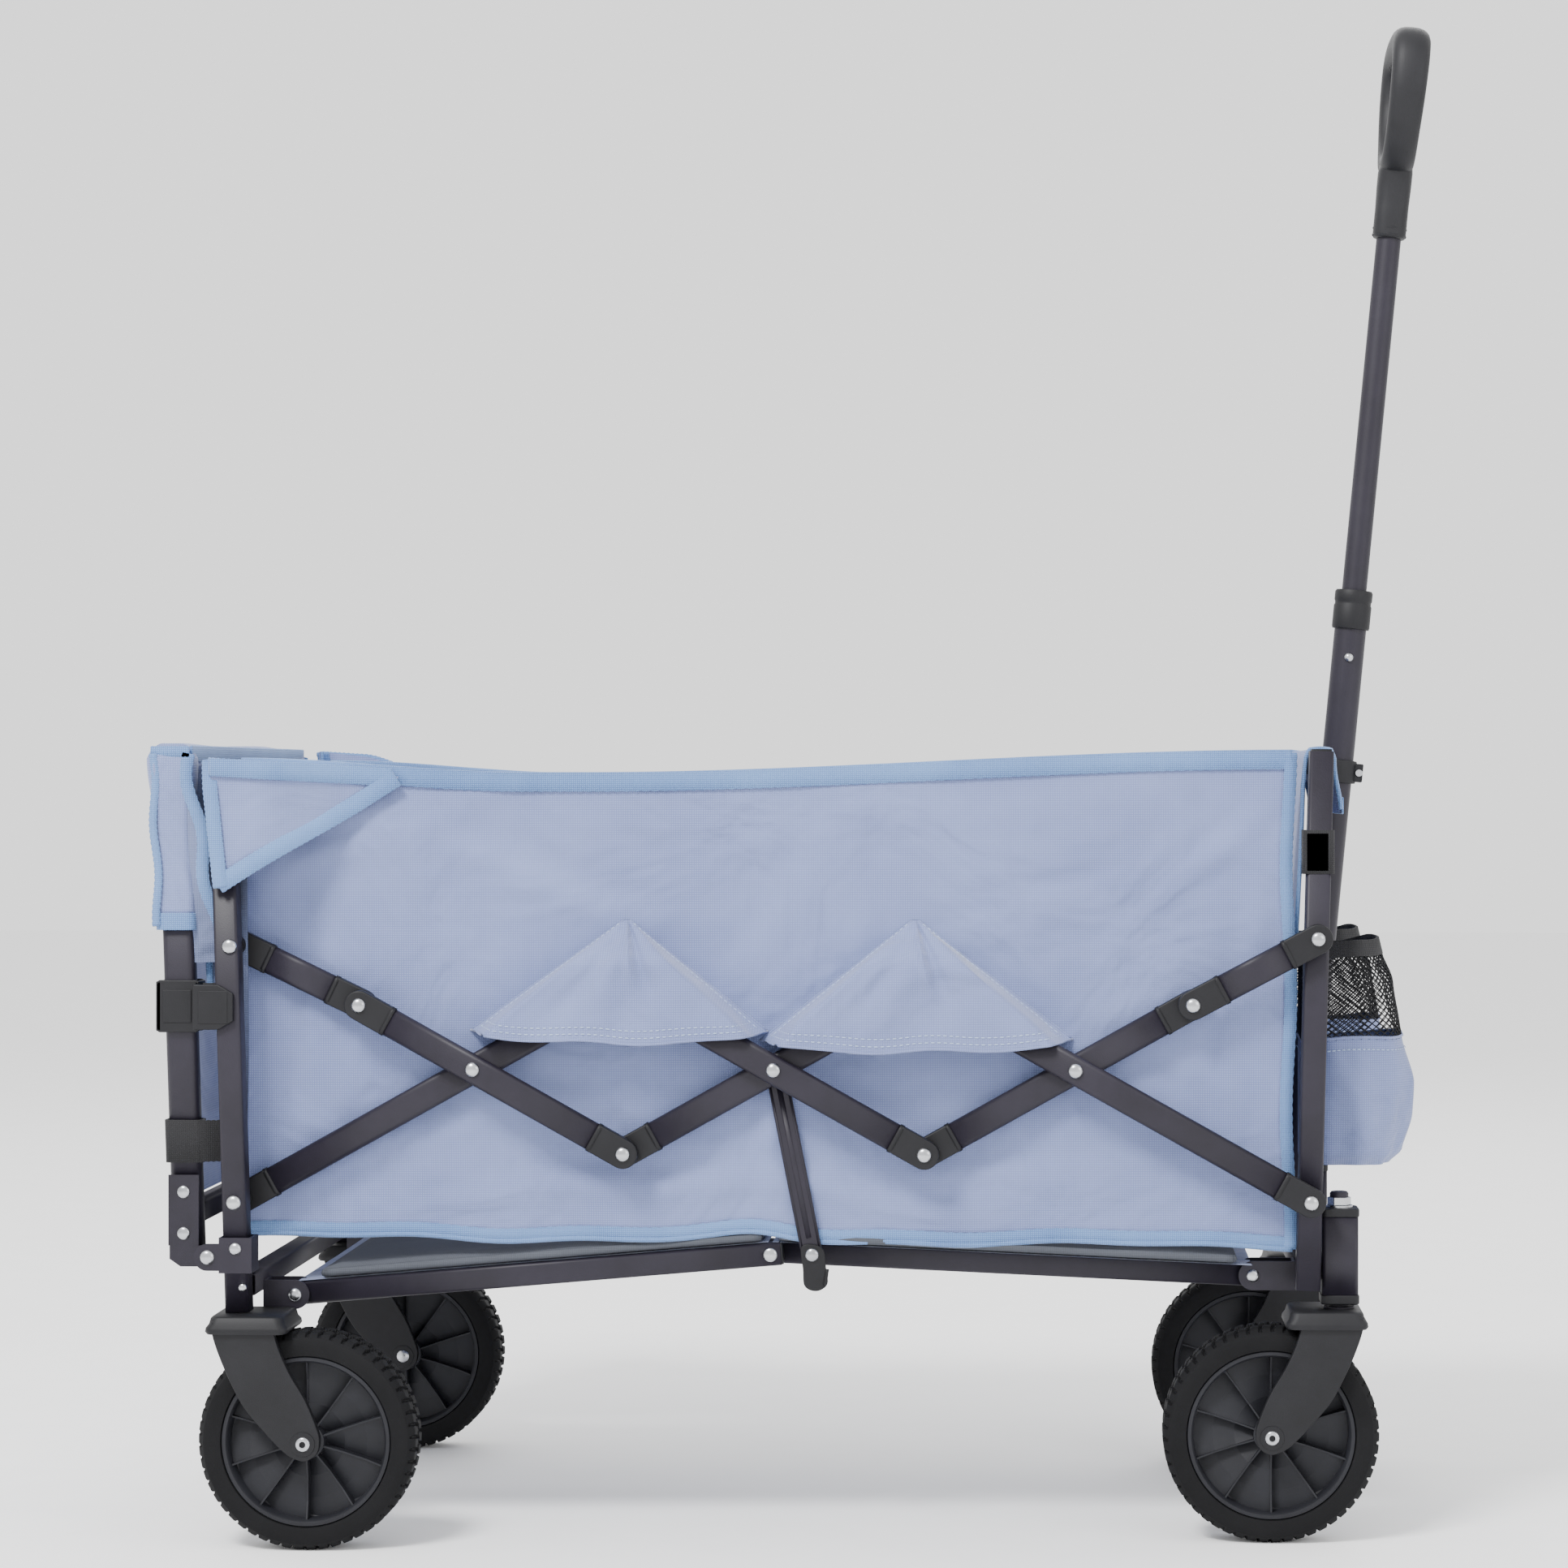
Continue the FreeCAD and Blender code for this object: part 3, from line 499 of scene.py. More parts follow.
def fork(name, hub, post_x, y, stem_top=None):
    """A fork: flared crown over the tyre, arms sweeping to the axle."""
    way = 1 if hub.x > post_x else -1
    z = hub.z
    # the arm's side view, from the crown's back round the axle and up again, from the hub in mm
    shape = ((-75, 99.5), (-74, 88), (-68.8, 72), (-60.5, 52.6), (-48.9, 30.4), (-32.4, 10.6),
             (-15.9, -6.5), (-5, -12.8), (3, -13.6),
             (11, -8), (13.4, 1), (11.8, 11), (2, 35), (-11, 57), (-20, 77), (-24.5, 93), (-25, 99.5))
    outline = curve_points([(hub.x + way * dx * MM, z + dz * MM) for dx, dz in shape], 4, closed=False)
    parts = []
    for s in (-1, 1):
        arm = prism("arm", outline, *y_span(s, 0.0247, FORK_OUT, y), PLASTIC)
        parts.append(soften(arm, 0.0032, 4, 50))

    def ring(h, rx, ry):
        return [Vector((post_x + way * 0.012 + a, y + b, h)) for a, b in rounded(2 * rx, 2 * ry, 0.008, 5)]

    z0, z1 = CROWN_Z
    shell = [ring(h, rx, ry) for h, rx, ry in (
        (z0 - 0.004, 0.0325, 0.0350), (z0 - 0.002, 0.0340, 0.0356), (z0 + 0.001, 0.0335, 0.0352),
        (z0 + 0.004, 0.0312, 0.0335), (z1 - 0.0015, 0.0300, 0.0325), (z1, 0.0285, 0.0310))]
    crown = sweep("crown", shell, PLASTIC)
    crown.data.set_sharp_from_angle(angle=radians(50))
    parts.append(crown)
    if stem_top:
        parts.append(turned("stem", [(0, stem_top), (0.0065, stem_top), (0.0078, stem_top - 0.0015),
                                     (0.0078, 0.1935), (0.0125, 0.1935), (0.0125, 0.191)],
                            (post_x, y, 0), (0, 0, 1), STEEL, 32))
    return joined(name, bake(parts))


for side, s in SIDES:
    for end in ("rear", "front"):
        place = f"{end}_{side}"
        finish_piece(tyre(f"tyre_look_{place}", f"tyre_{place}"), f"wheel_{place}", "tyre", f"tyre_{place}")
        finish_piece(rim(f"rim_look_{place}", f"rim_{place}"), f"wheel_{place}", "rim_plastic",
                     f"rim_{place}")
    hub = PIVOT[f"wheel_front_{side}_spin"]
    swivel = PIVOT[f"caster_swivel_{side}"]
    stem_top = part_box(f"caster_fork_{side}")[1].z
    look = fork(f"caster_look_{side}", hub, swivel.x, swivel.y, stem_top)
    finish_piece(look, f"caster_{side}", "black_plastic", f"caster_fork_{side}")
    rear_hub = PIVOT[f"wheel_rear_{side}_spin"]
    look = fork(f"rear_fork_look_{side}", rear_hub, REAR_FOOT_X, rear_hub.y)
    finish_piece(look, "rear_frame", "black_plastic", *(["rear_forks"] if s < 0 else []))
    for y, centre, body in ((swivel.y, hub, f"caster_{side}"), (rear_hub.y, rear_hub, "rear_frame")):
        heads = []
        for way in (-1, 1):
            heads.append(dome("axle_head", centre.x, y + way * FORK_OUT, centre.z, way, 0.0062, 0.0022,
                              ring=way * s > 0))
            boss = [(0.0100, 0.0), (0.0098, 0.0008), (0.006, 0.0010)]
            at = (centre.x, y + way * (FORK_OUT - 0.0002), centre.z)
            heads.append(turned("boss", boss, at, (0, way, 0), PLASTIC, 32))
        pin = turned("pin", [(0.0056, -0.032), (0.0056, 0.032)], (centre.x, y, centre.z), (0, 1, 0), ZINC,
                     24)
        nodes = [] if body == "rear_frame" else [f"caster_axle_{side}"]
        piece(f"axle_look_{body}_{side}", heads + [pin], body, "zinc", *nodes)


# ================================================================ posts, bars and rivets
TUBE = rounded(0.020, 0.020, 0.0028, 4)
BAR_OUTLINE = rounded(0.0236, 0.0098, 0.0044, 5)
INNER_Y = (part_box("bar_a")[1].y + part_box("bar_c")[1].y) / 2 - 0.005
OUTER_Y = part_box("bar_b")[1].y - 0.005


def bar_look(p, q, y, end_p=True, end_q=True, length=0.027):
    """A flat-oval tube with rounded plastic ends that reach past the pivots."""
    p, q = Vector((p.x, y, p.z)), Vector((q.x, y, q.z))
    d = (q - p).normalized()
    parts = [straight("tube", p + d * length * 0.9, q - d * length * 0.9, BAR_OUTLINE, STEEL)]
    across = Vector((0, 1, 0)).cross(d).normalized()
    for at, way, there in ((p, 1, end_p), (q, -1, end_q)):
        step = at + d * (way * length)
        parts.append(straight("collar", step - d * 0.0018, step + d * 0.0018,
                              rounded(0.0256, 0.0112, 0.0048, 5), PLASTIC))
        outline = []
        for i in range(17):
            a = radians(90 + 180 * i / 16)
            k = at + d * (way * 0.0122 * cos(a)) + across * (0.0122 * sin(a))
            outline.append((k.x, k.z))
        for sgn in (-1, 1):
            k = at + d * (way * length) + across * (sgn * 0.0122)
            outline.append((k.x, k.z))
        cap = prism("end", outline, y - 0.0050, y + 0.0050, PLASTIC if there else STEEL)
        soften(cap, 0.0016, 3, 50)
        parts.append(cap)
    return parts


P = PIVOT
J1 = Vector((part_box("link_rear")[1].x - 0.012, 0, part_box("link_rear")[0].z + 0.012))
J2 = Vector((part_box("link_front")[0].x + 0.012, 0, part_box("link_front")[0].z + 0.012))
X2 = P["strut_swing"]
BM2, T2 = P["pivot_bm2"], Vector((P["pivot_bm2"].x, 0, P["pivot_t1"].z))
BARS = (
    ("bar_a", P["fold"], P["pivot_t1"], "inner", ("bar_a",)),
    ("bar_b", J1, P["pivot_bm1"], "outer", ("bar_b", "bar_b_ends")),
    ("bar_c", P["pivot_bm1"], T2, "inner", ("bar_c",)),
    ("bar_d", P["pivot_t1"], BM2, "outer", ("bar_d", "bar_d_ends")),
    ("bar_e", BM2, J2, "inner", ("bar_e",)),
    ("bar_f", T2, P["pivot_f"], "outer", ("bar_f", "bar_f_ends")),
    ("link_rear", P["pivot_a"], J1, "inner", ("link_rear",)),
    ("link_front", J2, P["pivot_e"], "outer", ("link_front",)),
)
for name, p, q, lane, nodes in BARS:
    parts = []
    for s in (-1, 1):
        parts += bar_look(p, q, s * (INNER_Y if lane == "inner" else OUTER_Y))
    piece(name + "_look", parts, name, "dark_steel", *nodes)

HEAD_Y = OUTER_Y + 0.0051
for body, points, nodes in (
    ("bar_b", (P["pivot_x1"], P["pivot_bm1"], J1), ("rivets_b",)),
    ("bar_d", (P["pivot_t1"], X2, BM2), ("rivets_d",)),
    ("bar_f", (T2, P["pivot_x3"], P["pivot_f"]), ("rivets_f",)),
    ("link_front", (J2, P["pivot_e"]), ()),
):
    parts = []
    for c in points:
        for s in (-1, 1):
            parts.append(dome("head", c.x, s * HEAD_Y, c.z, s, 0.0062, 0.0032))
            parts.append(dome("back", c.x, s * (INNER_Y - 0.0051), c.z, -s, 0.0052, 0.0014))
            parts.append(turned("pin", [(0.0038, 0), (0.0038, HEAD_Y - INNER_Y + 0.005)],
                                (c.x, s * (INNER_Y - 0.005), c.z), (0, s, 0), ZINC, 16))
    piece("rivets_look_" + body, parts, body, "zinc", *nodes)

# rear and front posts: square tubes with rounded corners, a plug in each open top
for node, body in (("rear_posts", "rear_frame"), ("front_posts", "front_frame")):
    low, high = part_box(node)
    y = (abs(low.y) + abs(high.y)) / 2 - 0.010
    rear = node == "rear_posts"
    foot = Vector((high.x - 0.010 if rear else low.x + 0.010, 0, low.z + 0.0005))
    head = Vector((low.x + 0.010 if rear else high.x - 0.010, 0, high.z - 0.0005))
    parts = []
    for s in (-1, 1):
        off = Vector((0, s * y, 0))
        parts.append(straight("post", foot + off, head + off, TUBE, STEEL, hollow=0.0016))
        parts.append(straight("plug", head + off - Vector((0, 0, 0.012)),
                              head + off + Vector((0, 0, 0.0018)), rounded(0.0168, 0.0168, 0.002, 3),
                              PLASTIC))
    piece(node + "_look", parts, body, "dark_steel", node)


def square_tube(name, x, z, half_y, size, mat=STEEL):
    outline = rounded(size, size, size * 0.13, 4)
    return straight(name, (x, -half_y, z), (x, half_y, z), outline, mat, side=Vector((0, 0, 1)),
                    hollow=0.0016)


low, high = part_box("rear_cross_tube")
tube = square_tube("rear_cross_look", (low.x + high.x) / 2, (low.z + high.z) / 2, high.y, high.z - low.z)
finish_piece(tube, "rear_frame", "dark_steel", "rear_cross_tube")
low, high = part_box("front_cross_tubes")
parts = [square_tube("tube", low.x + 0.009, low.z + 0.009, high.y, 0.018),
         square_tube("tube", high.x - 0.009, high.z - 0.009, high.y, 0.018)]
piece("front_cross_look", parts, "front_frame", "dark_steel", "front_cross_tubes")

# heads and pins of the post pivots and the brackets, and the caster nuts
def post_pins(points, pins):
    """Heads for (place, distance out, radius) and pins for (place, from, to), on both sides."""
    parts = []
    for s in (-1, 1):
        for c, y, r in points:
            parts.append(dome("head", c.x, s * y, c.z, s, r, r * 0.5))
        for c, y0, y1 in pins:
            parts.append(turned("pin", [(0.0039, y0), (0.0039, y1)], (c.x, 0, c.z), (0, s, 0), ZINC, 16))
    return parts


rear_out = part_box("rear_posts")[1].y
hook_pin, foot_pin = Vector((-0.464, 0, 0.245)), Vector((-0.4585, 0, 0.213))
parts = post_pins(((P["pivot_a"], rear_out, 0.0062), (P["fold"], rear_out, 0.0062),
                   (P["floor_rear_hinge"], 0.1938, 0.0058),
                   (P["gate_hinge"], GATE_OUT, 0.0062), (hook_pin, GATE_OUT, 0.0052),
                   (foot_pin, 0.2402, 0.0034)),
                  ((P["pivot_a"], 0.196, 0.2395), (P["fold"], 0.196, 0.2395)))
for c in (P["pivot_a"], P["fold"]):
    for s in (-1, 1):
        ring = [(0.004, 0.2078), (0.0078, 0.2078), (0.0078, 0.2198), (0.004, 0.2198)]
        parts.append(turned("spacer", ring, (c.x, 0, c.z), (0, s, 0), PLASTIC, 24))
piece("rear_heads", parts, "rear_frame", "zinc", "rear_fasteners")

parts = post_pins(((P["floor_front_hinge"], 0.1725, 0.0056), (P["handle_pivot"], 0.0182, 0.0078)),
                  ((P["pivot_e"], 0.188, 0.2184), (P["pivot_f"], 0.188, 0.208)))
c = P["handle_pivot"]
parts.append(turned("bolt", [(0.0048, -0.018), (0.0048, 0.018)], (c.x, 0, c.z), (0, 1, 0), ZINC, 20))
z0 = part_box("housing_caps")[1].z
for side, s in SIDES:
    c = P[f"caster_swivel_{side}"]
    ring = [(0.0084, z0), (0.0112, z0), (0.0112, z0 + 0.0018), (0.0084, z0 + 0.0018)]
    parts.append(turned("washer", ring, (c.x, c.y, 0), (0, 0, 1), ZINC, 40, closed=True))
    corners = [(0.0100 * cos(radians(60 * i)), 0.0100 * sin(radians(60 * i))) for i in range(6)]
    hexagon = [[Vector((c.x + a, c.y + b, h)) for a, b in corners] for h in (z0 + 0.0018, z0 + 0.0085)]
    parts.append(soften(sweep("nut", hexagon, ZINC, smooth=False), 0.0008, 2))
piece("front_heads", parts, "front_frame", "zinc", "front_fasteners")

# the casters' housings and their caps
low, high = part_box("caster_housings")
parts = []
for side, s in SIDES:
    c = P[f"caster_swivel_{side}"]
    parts.append(straight("housing", (c.x, c.y, low.z), (c.x, c.y, high.z),
                          rounded(0.030, 0.030, 0.0035, 5), STEEL, hollow=0.002))
piece("housing_look", parts, "front_frame", "dark_steel", "caster_housings")
low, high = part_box("housing_caps")
parts = []
for side, s in SIDES:
    c = P[f"caster_swivel_{side}"]
    for z0, z1, lip in ((low.z, low.z + 0.008, -1), (high.z - 0.007, high.z, 1)):
        cap = straight("cap", (c.x, c.y, z0), (c.x, c.y, z1), rounded(0.0318, 0.0318, 0.005, 5), PLASTIC)
        parts.append(soften(cap, 0.0012, 2, 50))
piece("housing_caps_look", parts, "front_frame", "black_plastic", "housing_caps")


# ================================================================ folding floor
def slope_bar(p, q, y, over=0.0085):
    p, q = Vector((p.x, y, p.z)), Vector((q[0], y, q[1]))
    d = (q - p).normalized()
    outline = rounded(0.0188, 0.0188, 0.0026, 4)
    parts = [straight("bar", p - d * over, q + d * over, outline, STEEL)]
    for at, way in ((p - d * over, -1), (q + d * over, 1)):
        parts.append(straight("plug", at, at + d * way * 0.0015, rounded(0.0180, 0.0180, 0.003, 4),
                              PLASTIC))
    return parts


low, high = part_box("floor_hinge_rivets")
MID = ((low.x + high.x) / 2, (low.z + high.z) / 2)
for name, pivot, node in (
    ("floor_rear", P["floor_rear_hinge"], "floor_frame_rear"),
    ("floor_front", P["floor_front_hinge"], "floor_frame_front"),
):
    low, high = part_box(node)
    y = high.y - 0.0095
    parts = []
    for s in (-1, 1):
        parts += slope_bar(pivot, MID, s * y)
    way = 1 if MID[0] > pivot.x else -1
    for share in (0.152, 0.757):
        x = pivot.x + (MID[0] - pivot.x) * share
        z = pivot.z + (MID[1] - pivot.z) * share
        parts.append(square_tube("cross", x, z, y - 0.0094, 0.0165))
    piece(name + "_look", parts, name, "dark_steel", node)
head_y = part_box("floor_frame_rear")[1].y + 0.0002
parts = [dome("head", MID[0], s * head_y, MID[1], s, 0.0060, 0.0022) for s in (-1, 1)]
piece("floor_rivets_look", parts, "floor_rear", "zinc", "floor_hinge_rivets")

# hanging struts: a ribbed flat channel; hooks: a bent plate with a curled lip, drawn round its pin
HOOK_SHAPE = ((-0.009, 0.006), (0.001, 0.0085), (0.0095, 0.004), (0.0115, -0.010),
              (0.0128, -0.024), (0.004, -0.030), (-0.006, -0.026), (-0.0075, -0.012))
low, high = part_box("hooks")
S = P["hook_swing"]
strut_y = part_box("struts")[1].y - 0.0014
parts = []
for s in (-1, 1):
    a, b = Vector((X2.x, s * strut_y, X2.z)), Vector((S.x, s * strut_y, S.z))
    d = (b - a).normalized()
    across = Vector((0, 1, 0)).cross(d).normalized()
    outline = []
    for at, way in ((a, -1), (b, 1)):
        for i in range(13):
            a_i = radians(-90 + 180 * i / 12)
            k = at + d * (way * 0.0088 * cos(a_i)) + across * (way * 0.0088 * sin(a_i))
            outline.append((k.x, k.z))
    parts.append(soften(prism("plate", outline, s * strut_y - 0.0009, s * strut_y + 0.0009, STEEL), 0.0004,
                        2))
    for off in (-0.0072, 0.0072):
        parts.append(straight("lip", a + across * off + d * 0.004, b + across * off - d * 0.004,
                              rounded(0.0022, 0.0028, 0.0009, 2), STEEL))
    parts.append(straight("rib", a + d * 0.014, b - d * 0.014, rounded(0.0050, 0.0028, 0.0012, 2), STEEL))
piece("struts_look", parts, "struts", "dark_steel", "struts")
parts = []
for s in (-1, 1):
    y0 = s * (high.y - 0.0042)
    outline = curve_points([(S.x + dx, S.z + dz) for dx, dz in HOOK_SHAPE], 6)
    parts.append(soften(prism("hook", outline, y0 - 0.0011, y0 + 0.0011, PLASTIC), 0.0007, 2))
    lip = [Vector((S.x + 0.0125 - 0.0003 * i, y0 + s * 0.0002 * i,
                   S.z - 0.012 - 0.0022 * i)) for i in range(7)]
    rings = [[p + Vector((0.0016 * cos(a), 0.0024 * sin(a),
                          0)) for a in [2 * pi * k / 10 for k in range(10)]] for p in lip]
    parts.append(sweep("lip", rings, PLASTIC))
    parts.append(dome("head", S.x, y0 + s * 0.0011, S.z, s, 0.0058, 0.0026))
piece("hooks_look", parts, "hooks", "black_plastic", "hooks")

# ================================================================ tailgate metal
gate_tubes = []
for s in (-1, 1):
    off = Vector((0, s * GATE_Y, 0))
    gate_tubes.append(straight("upright", GATE_FOOT + off, GATE_HEAD + off,
                               rounded(0.0258, 0.0158, 0.0055, 5), STEEL, hollow=0.0016))
gate_tubes.append(straight("top", (GATE_HEAD.x, -0.2265, 0.648), (GATE_HEAD.x, 0.2265, 0.648),
                           rounded(0.0125, 0.0225, 0.004, 4), STEEL, side=Vector((1, 0, 0))))
gate_tubes.append(square_tube("low", GATE_FOOT.x, 0.271, 0.2108, 0.0175))
piece("gate_frame_look", gate_tubes, "gate", "dark_steel", "gate_frame")
parts = []
for s in (-1, 1):
    for z in (0.256, 0.290):
        parts.append(dome("head", -0.5095, s * 0.2300, z, s, 0.0055, 0.0022))
piece("gate_rivets_look", parts, "gate", "zinc", "gate_rivets")
# the sheet brackets carried over from the solids get a material and softened edges
for node in ("gate_channels", "rear_brackets", "front_brackets"):
    o = frame["nodes"][node]
    o.data.materials.clear()
    o.data.materials.append(STEEL)
    soften(o, 0.0006, 2, 40)

# clips: a plastic body round the upright with two jaws on the post and flat pads
low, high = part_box("gate_clips")
parts = []
for s in (-1, 1):
    zc = (low.z + high.z) / 2
    gx = GATE_FOOT.x + (GATE_HEAD.x - GATE_FOOT.x) * (zc - GATE_FOOT.z) / (GATE_HEAD.z - GATE_FOOT.z)
    body = [(gx - 0.0185, low.z + 0.003), (gx - 0.0165, low.z), (gx + 0.0150, low.z),
            (gx + 0.0170, low.z + 0.002),
            (gx + 0.0170, high.z - 0.002), (gx + 0.0150, high.z), (gx - 0.0165, high.z),
            (gx - 0.0185, high.z - 0.003)]
    for y0, y1 in ((GATE_Y - 0.0125, GATE_Y - 0.0085), (GATE_Y + 0.0085, GATE_Y + 0.0125)):
        parts.append(soften(prism("cheek", body, *y_span(s, y0, y1), PLASTIC), 0.0012, 2))
    for x0, x1 in ((gx - 0.0185, gx - 0.0140), (gx + 0.0135, gx + 0.0170)):
        lo_y, hi_y = y_span(s, GATE_Y - 0.0125, GATE_Y + 0.0125)
        parts.append(soften(block("end", (x0, lo_y, low.z + 0.001), (x1, hi_y, high.z - 0.001), PLASTIC),
                            0.001, 2))
    lo_y, hi_y = y_span(s, 0.2274, 0.2445)
    parts.append(soften(block("web", (gx + 0.0150, lo_y, low.z + 0.003),
                              (gx + 0.0180, hi_y, high.z - 0.003), PLASTIC), 0.001, 2))
    for y0, y1 in ((0.2160, 0.2195), (0.2406, 0.2445)):
        z0, z1 = low.z + 0.003, high.z - 0.003
        jaw = curve_points([(gx + 0.016, z0), (-0.478, z0), (-0.4655, low.z + 0.010),
                            (-0.4655, high.z - 0.010), (-0.478, z1), (gx + 0.016, z1)], 1)
        parts.append(soften(prism("jaw", jaw, *y_span(s, y0, y1), PLASTIC), 0.0012, 2))
    lo_y, hi_y = y_span(s, GATE_Y + 0.0120, GATE_Y + 0.0132)
    parts.append(soften(block("pad", (gx - 0.013, lo_y, low.z + 0.008), (gx + 0.011, hi_y, high.z - 0.008),
                              PLASTIC), 0.0006, 2))
    lo_y, hi_y = y_span(s, 0.2440, 0.2450)
    parts.append(soften(block("pad", (-0.494, lo_y, low.z + 0.008), (-0.470, hi_y, high.z - 0.008),
                              PLASTIC), 0.0005, 2))
piece("gate_clips_look", parts, "gate", "black_plastic", "gate_clips")

# ================================================================ handle
H = P["handle_pivot"]
slide = next(j for j in frame["joints"] if j["name"] == "handle_telescope")
UP = Vector(slide["axis"]).normalized()
FORE = Vector((UP.z, 0, -UP.x))


def on_tube(h):
    """The point of the handle's middle line at height h."""
    return H + UP * ((h - H.z) / UP.z)


def turned_tube(name, profile, mat, body, slot, node, steps=56):
    """A (radius, height) profile turned about the handle's line."""
    o = turned(name, [(r, (h - H.z) / UP.z) for r, h in profile], H, UP, mat, steps)
    return finish_piece(o, body, slot, *([node] if node else []))


turned_tube("handle_outer_look", [(0.0112, 0.246), (0.0134, 0.2455), (0.0139, 0.247), (0.0139, 0.7842),
                                  (0.0114, 0.7842), (0.0114, 0.246)], STEEL, "handle_outer", "dark_steel",
            "handle_outer_tube")
turned_tube("handle_collar_look", [(0.0142, 0.7600), (0.0160, 0.7602), (0.0165, 0.7620), (0.0165, 0.7800),
                                   (0.0158, 0.7815), (0.0158, 0.7835), (0.0165, 0.7850), (0.0165, 0.7920),
                                   (0.0155, 0.7938), (0.0116, 0.7940), (0.0114, 0.7850)],
            PLASTIC, "handle_outer", "black_plastic", "handle_collar")
turned_tube("handle_inner_look", [(0.0098, 0.701), (0.0108, 0.7005), (0.0108, 1.128), (0.0098, 1.128)],
            STEEL, "handle_inner", "dark_steel", "handle_inner_tube")
button_z = (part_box("snap_button")[0].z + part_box("snap_button")[1].z) / 2
button_at = on_tube(button_z)
head = turned("snap_look", [(0, 0.0172), (0.0020, 0.0169), (0.0034, 0.0158), (0.0040, 0.0142),
                            (0.0040, 0.0113), (0, 0.0113)], button_at, (0, -1, 0), ZINC, 28)
finish_piece(head, "button", "zinc", "snap_button")
hole_at = on_tube(button_z + 0.028)
hole = turned("peg_hole", [(0, 0.0133), (0.0024, 0.0133), (0.0028, 0.01405), (0.0034, 0.0141),
                           (0.0036, 0.0134)], hole_at, (0, -1, 0), PLASTIC, 24)
finish_piece(hole, "handle_outer", "black_plastic")
# clip on the tube
turned_tube("handle_clip_look", [(0.0142, 0.6260), (0.0168, 0.6264), (0.0172, 0.6280), (0.0172, 0.6440),
                                 (0.0168, 0.6456), (0.0142, 0.6460)], PLASTIC, "handle_outer",
            "black_plastic", "handle_clip")
c = on_tube(0.636)
parts = []
for s in (-1, 1):
    lo_y, hi_y = y_span(s, 0.0008, 0.0080)
    parts.append(soften(block("ear", (0.0145, lo_y, -0.0080), (0.0225, hi_y, 0.0080), PLASTIC), 0.001, 2))
parts.append(turned("screw", [(0, 0.0095), (0.0030, 0.0095), (0.0034, 0.0085), (0.0034, -0.0085),
                              (0.0030, -0.0095), (0, -0.0095)], (0.0190, 0, 0), (0, 1, 0), ZINC, 20))
o = joined("clip_ears", bake(parts))
o.data.transform(Matrix.Translation(c) @ Matrix((FORE.to_4d(), (0, 1, 0, 0), UP.to_4d(),
                                                 (0, 0, 0, 1))).transposed().to_3x3().to_4x4())
finish_piece(o, "handle_outer", "black_plastic")

def grip():
    """A round stem that flares into a closed loop, with finger ribs inside the top limb."""
    stem_low = 1.101

    def at(y, h, depth=0.0):
        return on_tube(h) + Vector((0, y, 0)) + FORE * depth

    def limb(path, sizes, n=20, closed=False):
        """A rounded tube through (y, h) points, with (across, depth) half sizes."""
        rings = []
        count = len(path)
        for i, (y, h) in enumerate(path):
            a = path[(i - 1) % count] if closed or i else path[0]
            b = path[(i + 1) % count] if closed or i < count - 1 else path[-1]
            t = Vector((b[0] - a[0], b[1] - a[1])).normalized()
            nrm = Vector((-t.y, t.x))
            ra, rb = sizes[i]
            ring = []
            for k in range(n):
                ang = 2 * pi * k / n
                ca, sa = cos(ang), sin(ang)
                ca = copysign(abs(ca) ** 0.75, ca)
                sa = copysign(abs(sa) ** 0.75, sa)
                ring.append(at(y + nrm.x * ra * ca, h + nrm.y * ra * ca, rb * sa))
            rings.append(ring)
        return sweep("limb", rings, GRIP, caps=not closed, closed=closed)

    parts = []
    loop = [(0.0, 1.1660), (0.020, 1.1690), (0.038, 1.1850), (0.050, 1.2060), (0.0555, 1.2280),
            (0.0520, 1.2520), (0.0360, 1.2655), (0.0, 1.2690),
            (-0.0360, 1.2655), (-0.0520, 1.2520), (-0.0555, 1.2280), (-0.050, 1.2060), (-0.038, 1.1850),
            (-0.020, 1.1690)]
    path = curve_points(loop, 8)
    sizes = []
    for y, h in path:
        up = min(max((h - 1.19) / 0.07, 0), 1)
        sizes.append((0.0105 + 0.0030 * up, 0.0145 + 0.0020 * up))
    parts.append(limb(path, sizes, 24, closed=True))
    stem = [(0.0, h) for h in (stem_low, stem_low + 0.001, stem_low + 0.004, 1.128, 1.146, 1.158, 1.168)]
    parts.append(limb(stem, [(0.0110, 0.0110), (0.0136, 0.0136), (0.0145, 0.0145), (0.0145, 0.0145),
                             (0.0160, 0.0150), (0.0200, 0.0150), (0.0240, 0.0140)], 28))
    for i in range(6):
        y = -0.030 + 0.012 * i
        rib = [(y, 1.2560), (y, 1.2535), (y, 1.2530)]
        parts.append(limb(rib, [(0.0034, 0.0125), (0.0030, 0.0118), (0.0010, 0.0100)], 16))
    for h in (1.103, 1.109):
        parts.append(turned("ring", [(0.0146, (h - H.z) / UP.z), (0.0152, (h + 0.001 - H.z) / UP.z),
                                     (0.0146, (h + 0.002 - H.z) / UP.z)], H, UP, GRIP, 40))
    piece("grip_look", parts, "handle_inner", "grip_plastic", "handle_grip")


grip()


# ================================================================ fabric
def smooth(t):
    """A soft step from 0 to 1."""
    t = min(max(t, 0.0), 1.0)
    return t * t * (3 - 2 * t)


def surface(name, rows, cols, at, mat, wrap=False):
    """A grid of points at(u, v), u along the rows and v along the columns, both 0 to 1."""
    verts = []
    for i in range(rows):
        for j in range(cols):
            verts.append(at(i / (rows - 1), j / (cols if wrap else cols - 1)))
    return obj_from(name, verts, grid_faces(rows, cols, wrap_cols=wrap), mat)


